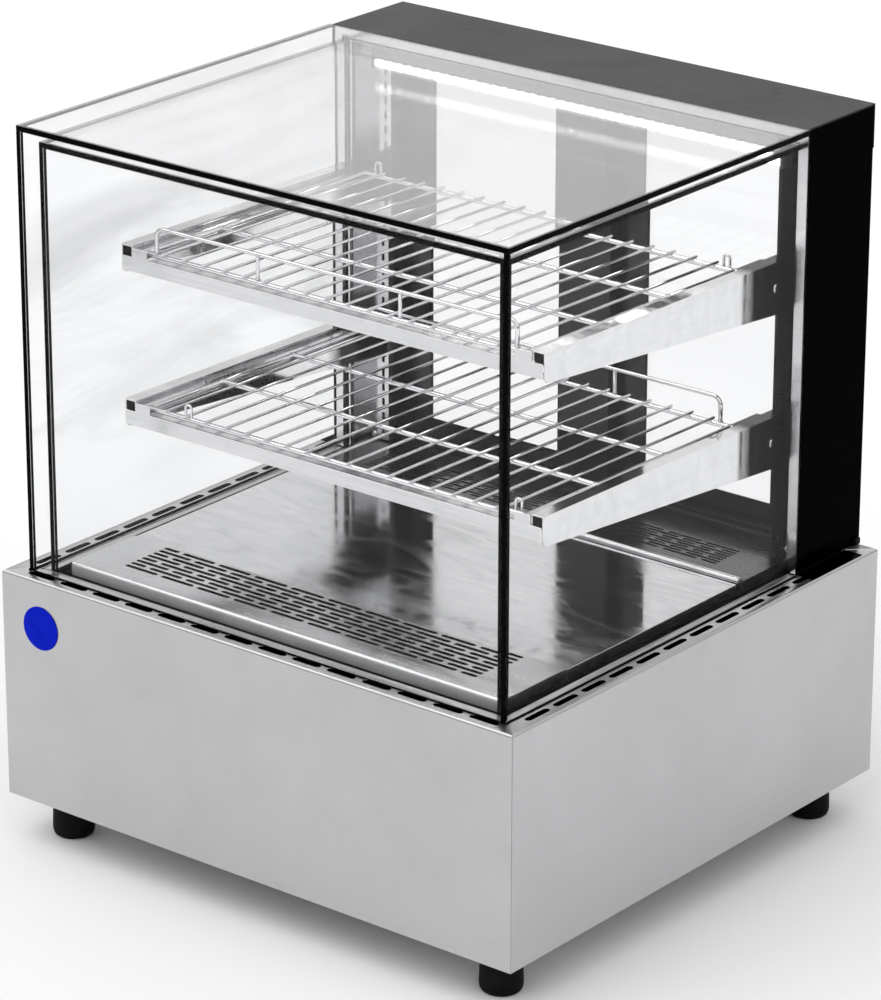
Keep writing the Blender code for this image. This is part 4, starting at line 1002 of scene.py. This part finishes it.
def screws():
    with part("base_screws", "steel_arm_edge", POLISHED, sharp=40) as shape:
        for x, z in REAR_SCREWS_XZ:
            screw_head(shape, (x, 555.0, z), BACKWARD, radius=3.3, height=1.6)
        for x, y in BOTTOM_SCREWS_XY:
            screw_head(shape, (x, y, 0.0), DOWN, radius=3.3, height=1.5)
    with part("tower_screws", "plastic_grey", GLOSS, sharp=40) as shape:
        for side in SIDES:
            for z in (250.0, 345.0, 440.0, 535.0):
                screw_head(shape, (side * 270.0, 557.0, z), BACKWARD, radius=3.0, height=1.3)
        for x in (-240.0, -80.0, 80.0, 240.0):
            screw_head(shape, (x, 558.5, 632.0), BACKWARD, radius=3.0, height=1.3)
    with part("pilaster_screws", "steel_arm_edge", POLISHED, sharp=40) as shape:
        for side in SIDES:
            for z in (237.0, 626.0):
                screw_head(shape, (side * 244.0, 478.0, z), FORWARD, radius=2.6, height=1.2)
        for x in (-215.0, 215.0):
            screw_head(shape, (x, 472.0, 639.6), DOWN, radius=2.6, height=1.2)
    with part("control_screws", "plastic_grey", PLASTIC, sharp=40) as shape:
        for x, z in CONTROL_SCREWS_XZ:
            screw_head(shape, (x, 557.3, z), BACKWARD, radius=2.3, height=1.1)
        for side in SIDES:
            screw_head(shape, (INLET_X + side * 20.5, 558.3, INLET_Z), BACKWARD, radius=2.0,
                       height=0.9)


# ============================================================= door gaskets
DOORS = {"left": (-251.0, 502.0), "right": (-10.0, 516.0)}   # left edge x, front face y
DOOR_W = 268.0
STILE_W = 60.0
WINDOW_Z = (229.8 + 28.0, 640.2 - 22.0)                      # door ends less the rails


def window_loop(door_x, y, grow):
    """Rounded loop about a door's window, from the middle of its foot."""
    left, right = door_x + STILE_W, door_x + DOOR_W - STILE_W
    middle = (left + right) / 2
    left, right = left - grow, right + grow
    low, high = WINDOW_Z[0] - grow, WINDOW_Z[1] + grow
    return bent([(middle, y, low), (right, y, low), (right, y, high), (left, y, high),
                 (left, y, low), (middle - 0.01, y, low)], radius=2.0, steps=4)


def door_gaskets():
    for side, (x, y) in DOORS.items():
        with part(f"door_{side}_gasket", "silicone_black", RUBBER, body=f"door_{side}",
                  sharp=60) as shape:
            sweep(shape, window_loop(x, y + 0.25, grow=-0.5), radius=0.7, sides=8,
                  round_ends=False)
            sweep(shape, window_loop(x, y + 7.55, grow=4.5), radius=0.45, sides=8,
                  round_ends=False)


# ================================================== thermostat display, pins
SEGMENTS = {"6": "acdefg", "5": "acdfg"}
LIT_Y = (561.3, 561.55)


def digit(shape, char, left, base=149.5):
    """Seven-segment figure read from behind the case, so x runs right to left."""
    width, height, stroke = 11.0, 17.0, 1.9
    middle = height / 2.0
    level = (stroke, width - stroke)
    near, far = (0, stroke), (width - stroke, width)
    upper, lower = (middle + 0.3, height - 0.4), (0.4, middle - 0.3)
    # Span across and span up of each segment.
    spots = {"a": (level, (height - stroke, height)),
             "g": (level, (middle - stroke / 2, middle + stroke / 2)),
             "d": (level, (0, stroke)),
             "f": (near, upper), "b": (far, upper), "e": (near, lower), "c": (far, lower)}
    for key in SEGMENTS[char]:
        across, up = spots[key]
        block(shape, (left - across[1], left - across[0]), LIT_Y, (base + up[0], base + up[1]),
              chamfer=0.08)


def display_and_pins():
    with part("thermostat_display", "display_window", PLASTIC) as shape:
        block(shape, x=(-205.0, -152.0), y=(560.9, 561.35), z=(145.5, 170.5), chamfer=0.15)
    with part("thermostat_digits", "display_digit", "light_diffuser") as shape:
        digit(shape, "6", left=-160.0)
        digit(shape, "5", left=-177.0)
        block(shape, x=(-200.5, -198.3), y=LIT_Y, z=(164.3, 166.5), chamfer=0.08)
    with part("mains_inlet_pins", "brass_pin", POLISHED) as shape:
        for shift_x, shift_z in ((-7.0, -2.5), (0.0, 2.0), (7.0, -2.5)):
            x, z = INLET_X + shift_x, INLET_Z + shift_z
            block(shape, (x - 1.1, x + 1.1), (540.5, 555.9), (z - 2.1, z + 2.1), chamfer=0.4)


# =============================================================== small parts
def rim_parts():
    """Dark sheets under the rim's slots as painted shade, and a steel strip inside the rim."""
    shade_sheet_z = (221.4, 222.2)
    with part("rim_slot_shade_sheets", "slot_shade_black", PLASTIC) as shape:
        block(shape, x=(-272.0, 272.0), y=(2.2, 24.4), z=shade_sheet_z, chamfer=0.2)
        side_blocks(shape, x=(275.8, 297.8), y=(27.0, 528.0), z=shade_sheet_z, chamfer=0.2)
    strip_z = (223.8, 225.4)
    with part("rim_inner_strip", "steel_rim_strip", BRUSHED, sharp=50) as shape:
        block(shape, x=(-273.0, 273.0), y=(26.8, 31.6), z=strip_z, chamfer=0.25)
        side_blocks(shape, x=(265.9, 273.0), y=(31.9, 451.0), z=strip_z, chamfer=0.25)


def arm_end_shade_blocks():
    """Black blocks in the open front ends of the arms: painted shade for their hollows."""
    with part("arm_end_shade_blocks", "silicone_black", PLASTIC) as shape:
        for top in SHELF_TOPS.values():
            side_blocks(shape, x=(227.5, 237.7), y=(112.9, 117.0), z=(top - 12.5, top - 1.5),
                        chamfer=0.4)


def grille_shade_sheets():
    """Black sheets under the two grilles: painted shade seen through their slots."""
    with part("grille_shade_sheets", "slot_shade_black", PLASTIC) as shape:
        block(shape, x=(-214.0, 214.0), y=(69.5, 130.5), z=(229.6, 230.4), chamfer=0.2)
        block(shape, x=(-214.0, 214.0), y=(413.5, 459.5), z=(228.1, 228.9), chamfer=0.2)


def arm_studs():
    y = 455.0
    # Radius, height out from the arm.
    profile = [(0.0, 0.0), (4.9, 0.0), (4.9, 0.7), (4.5, 1.5), (3.4, 2.2), (1.8, 2.6),
               (0.0, 2.7)]
    with part("arm_studs", "steel_arm_edge", POLISHED, sharp=50) as shape:
        for top in SHELF_TOPS.values():
            for side in SIDES:
                turn(shape, (side * 239.4, y, top - 25.0 - shelf_drop(y)), (side, 0, 0),
                     profile, steps=32)


def end_pieces():
    """Small pairs at the ends of the light, of the lower track and of the tower's foot."""
    with part("led_end_caps", "plastic_grey", PLASTIC) as shape:
        side_blocks(shape, x=(234.2, 237.4), y=(462.0, 477.0), z=(607.6, 631.0), chamfer=0.6)
    with part("track_end_stops", "rubber_black", RUBBER) as shape:
        side_blocks(shape, x=(262.0, 274.4), y=(497.5, 530.5), z=(229.4, 235.2), chamfer=0.8)
    with part("tower_foot_buttons", "rubber_black", RUBBER) as shape:
        side_blocks(shape, x=(277.1, 280.6), y=(546.0, 554.0), z=(226.6, 233.0), chamfer=0.8)
    # Foot strips of the tower, lying on the rim beside its two covers.
    with part("tower_foot_strips", "black_gloss_cover", GLOSS, sharp=50) as shape:
        side_blocks(shape, x=(277.3, 297.6), y=(452.3, 532.0),
                    z=(BASE_H + 0.05, BASE_H + 0.55), chamfer=0.15)


# ==================================================================== stage
def stage_floor():
    tree = Shader("floor_pale")
    cloud = tree.noise(0.8, detail=4.0)
    tooth = tree.noise(220.0, detail=2.0)
    rgb = tree.mix(tree.remap(cloud, to=(0.0, 1.0)), (0.93, 0.93, 0.935), (0.955, 0.955, 0.955))
    tree.principled(Base_Color=rgb, Roughness=0.85, Specular_IOR_Level=0.15,
                    Normal=tree.bump(tooth, strength=0.02, distance=0.0005))
    grid = bmesh.new()
    bmesh.ops.create_grid(grid, x_segments=8, y_segments=8, size=30.0)
    mesh = bpy.data.meshes.new("floor")
    grid.to_mesh(mesh)
    grid.free()
    mesh.materials.append(tree.mat)
    obj = bpy.data.objects.new("floor", mesh)
    bpy.context.scene.collection.objects.link(obj)


# Inner stops of the studio's ramp: position on the Z ramp, grey level.
SKY_STOPS = ((0.15, 0.06), (0.235, 0.93), (0.5, 0.98), (0.62, 0.62), (0.80, 1.08))


def studio_world():
    """Grey ramp for reflections, plain pale backdrop for straight views.

    A ray that has passed through nothing but glass sees the backdrop.  Cycles
    counts one extra bounce when a ray reaches the world.
    """
    world = bpy.data.worlds.new("studio")
    bpy.context.scene.world = world
    tree = Nodes(world, "OutputWorld", "Generated")
    sky = tree.node("ValToRGB", {0: tree.axis("Z")})
    stops = sky.color_ramp.elements
    stops[0].position = 0.0
    stops[0].color = (0.05, 0.05, 0.052, 1.0)
    stops[1].position = 1.0
    stops[1].color = (1.10, 1.10, 1.10, 1.0)
    for position, level in SKY_STOPS:
        stops.new(position).color = (level, level, level * 1.005, 1.0)
    path = tree.node("LightPath").outputs
    seen = tree.math('MAXIMUM', path["Is Camera Ray"], path["Is Transmission Ray"])
    bounced = tree.math('SUBTRACT', path["Ray Depth"], path["Transmission Depth"])
    straight = tree.math('MULTIPLY', seen, tree.math('LESS_THAN', bounced, 1.5))
    colour = tree.mix(straight, sky, (1.10, 1.10, 1.105))
    tree.surface(tree.node("Background", {"Color": colour, "Strength": 0.92}))


def sun(name, direction, strength, angle):
    data = bpy.data.lights.new(name, 'SUN')
    data.energy = strength
    data.angle = math.radians(angle)
    obj = bpy.data.objects.new(name, data)
    obj.rotation_euler = Vector(direction).to_track_quat('-Z', 'Y').to_euler()
    bpy.context.scene.collection.objects.link(obj)


def camera(azimuth, elevation, roll, place, lens):
    """Long-lens view; angles in degrees, azimuth from the front towards the right."""
    azimuth, elevation, roll = (math.radians(a) for a in (azimuth, elevation, roll))
    back = Vector((math.sin(azimuth) * math.cos(elevation),
                   -math.cos(azimuth) * math.cos(elevation), math.sin(elevation)))
    level = Vector((0, 0, 1)).cross(back).normalized()
    rise = back.cross(level)
    right = level * math.cos(roll) + rise * math.sin(roll)
    up = -level * math.sin(roll) + rise * math.cos(roll)
    data = bpy.data.cameras.new("photo_view")
    data.sensor_fit = 'AUTO'
    data.sensor_width = 36.0
    data.lens = lens
    data.clip_end = 100.0
    obj = bpy.data.objects.new("photo_view", data)
    bpy.context.scene.collection.objects.link(obj)
    obj.matrix_world = Matrix((*zip(right, up, back, place), (0, 0, 0, 1)))
    bpy.context.scene.camera = obj


def render_settings():
    scene = bpy.context.scene
    scene.view_settings.view_transform = 'Standard'
    scene.view_settings.look = 'None'
    scene.cycles.max_bounces = 24
    scene.cycles.transmission_bounces = 20
    scene.cycles.transparent_max_bounces = 24
    scene.cycles.glossy_bounces = 6
    scene.cycles.diffuse_bounces = 3
    scene.cycles.sample_clamp_indirect = 6.0


# ==================================================================== build
base_panels()
tower_sheets()
deck()
shelf_supports()
tracks_and_doors()
controls()
panes()
glass_beads()
for shelf, shelf_top in SHELF_TOPS.items():
    rack_and_guard(shelf, shelf_top)
feet()
badge()
heater()
fan_guard()
screws()
door_gaskets()
display_and_pins()
rim_parts()
arm_end_shade_blocks()
grille_shade_sheets()
arm_studs()
end_pieces()

stage_floor()
studio_world()
sun("soft_key", direction=(0.5, 0.55, -1.1), strength=0.75, angle=55.0)
sun("soft_fill", direction=(-0.8, 0.35, -0.8), strength=0.25, angle=70.0)
camera(azimuth=38.84, elevation=21.21, roll=0.10, place=(2.57642, -3.20604, 1.92409),
       lens=171.45)
render_settings()
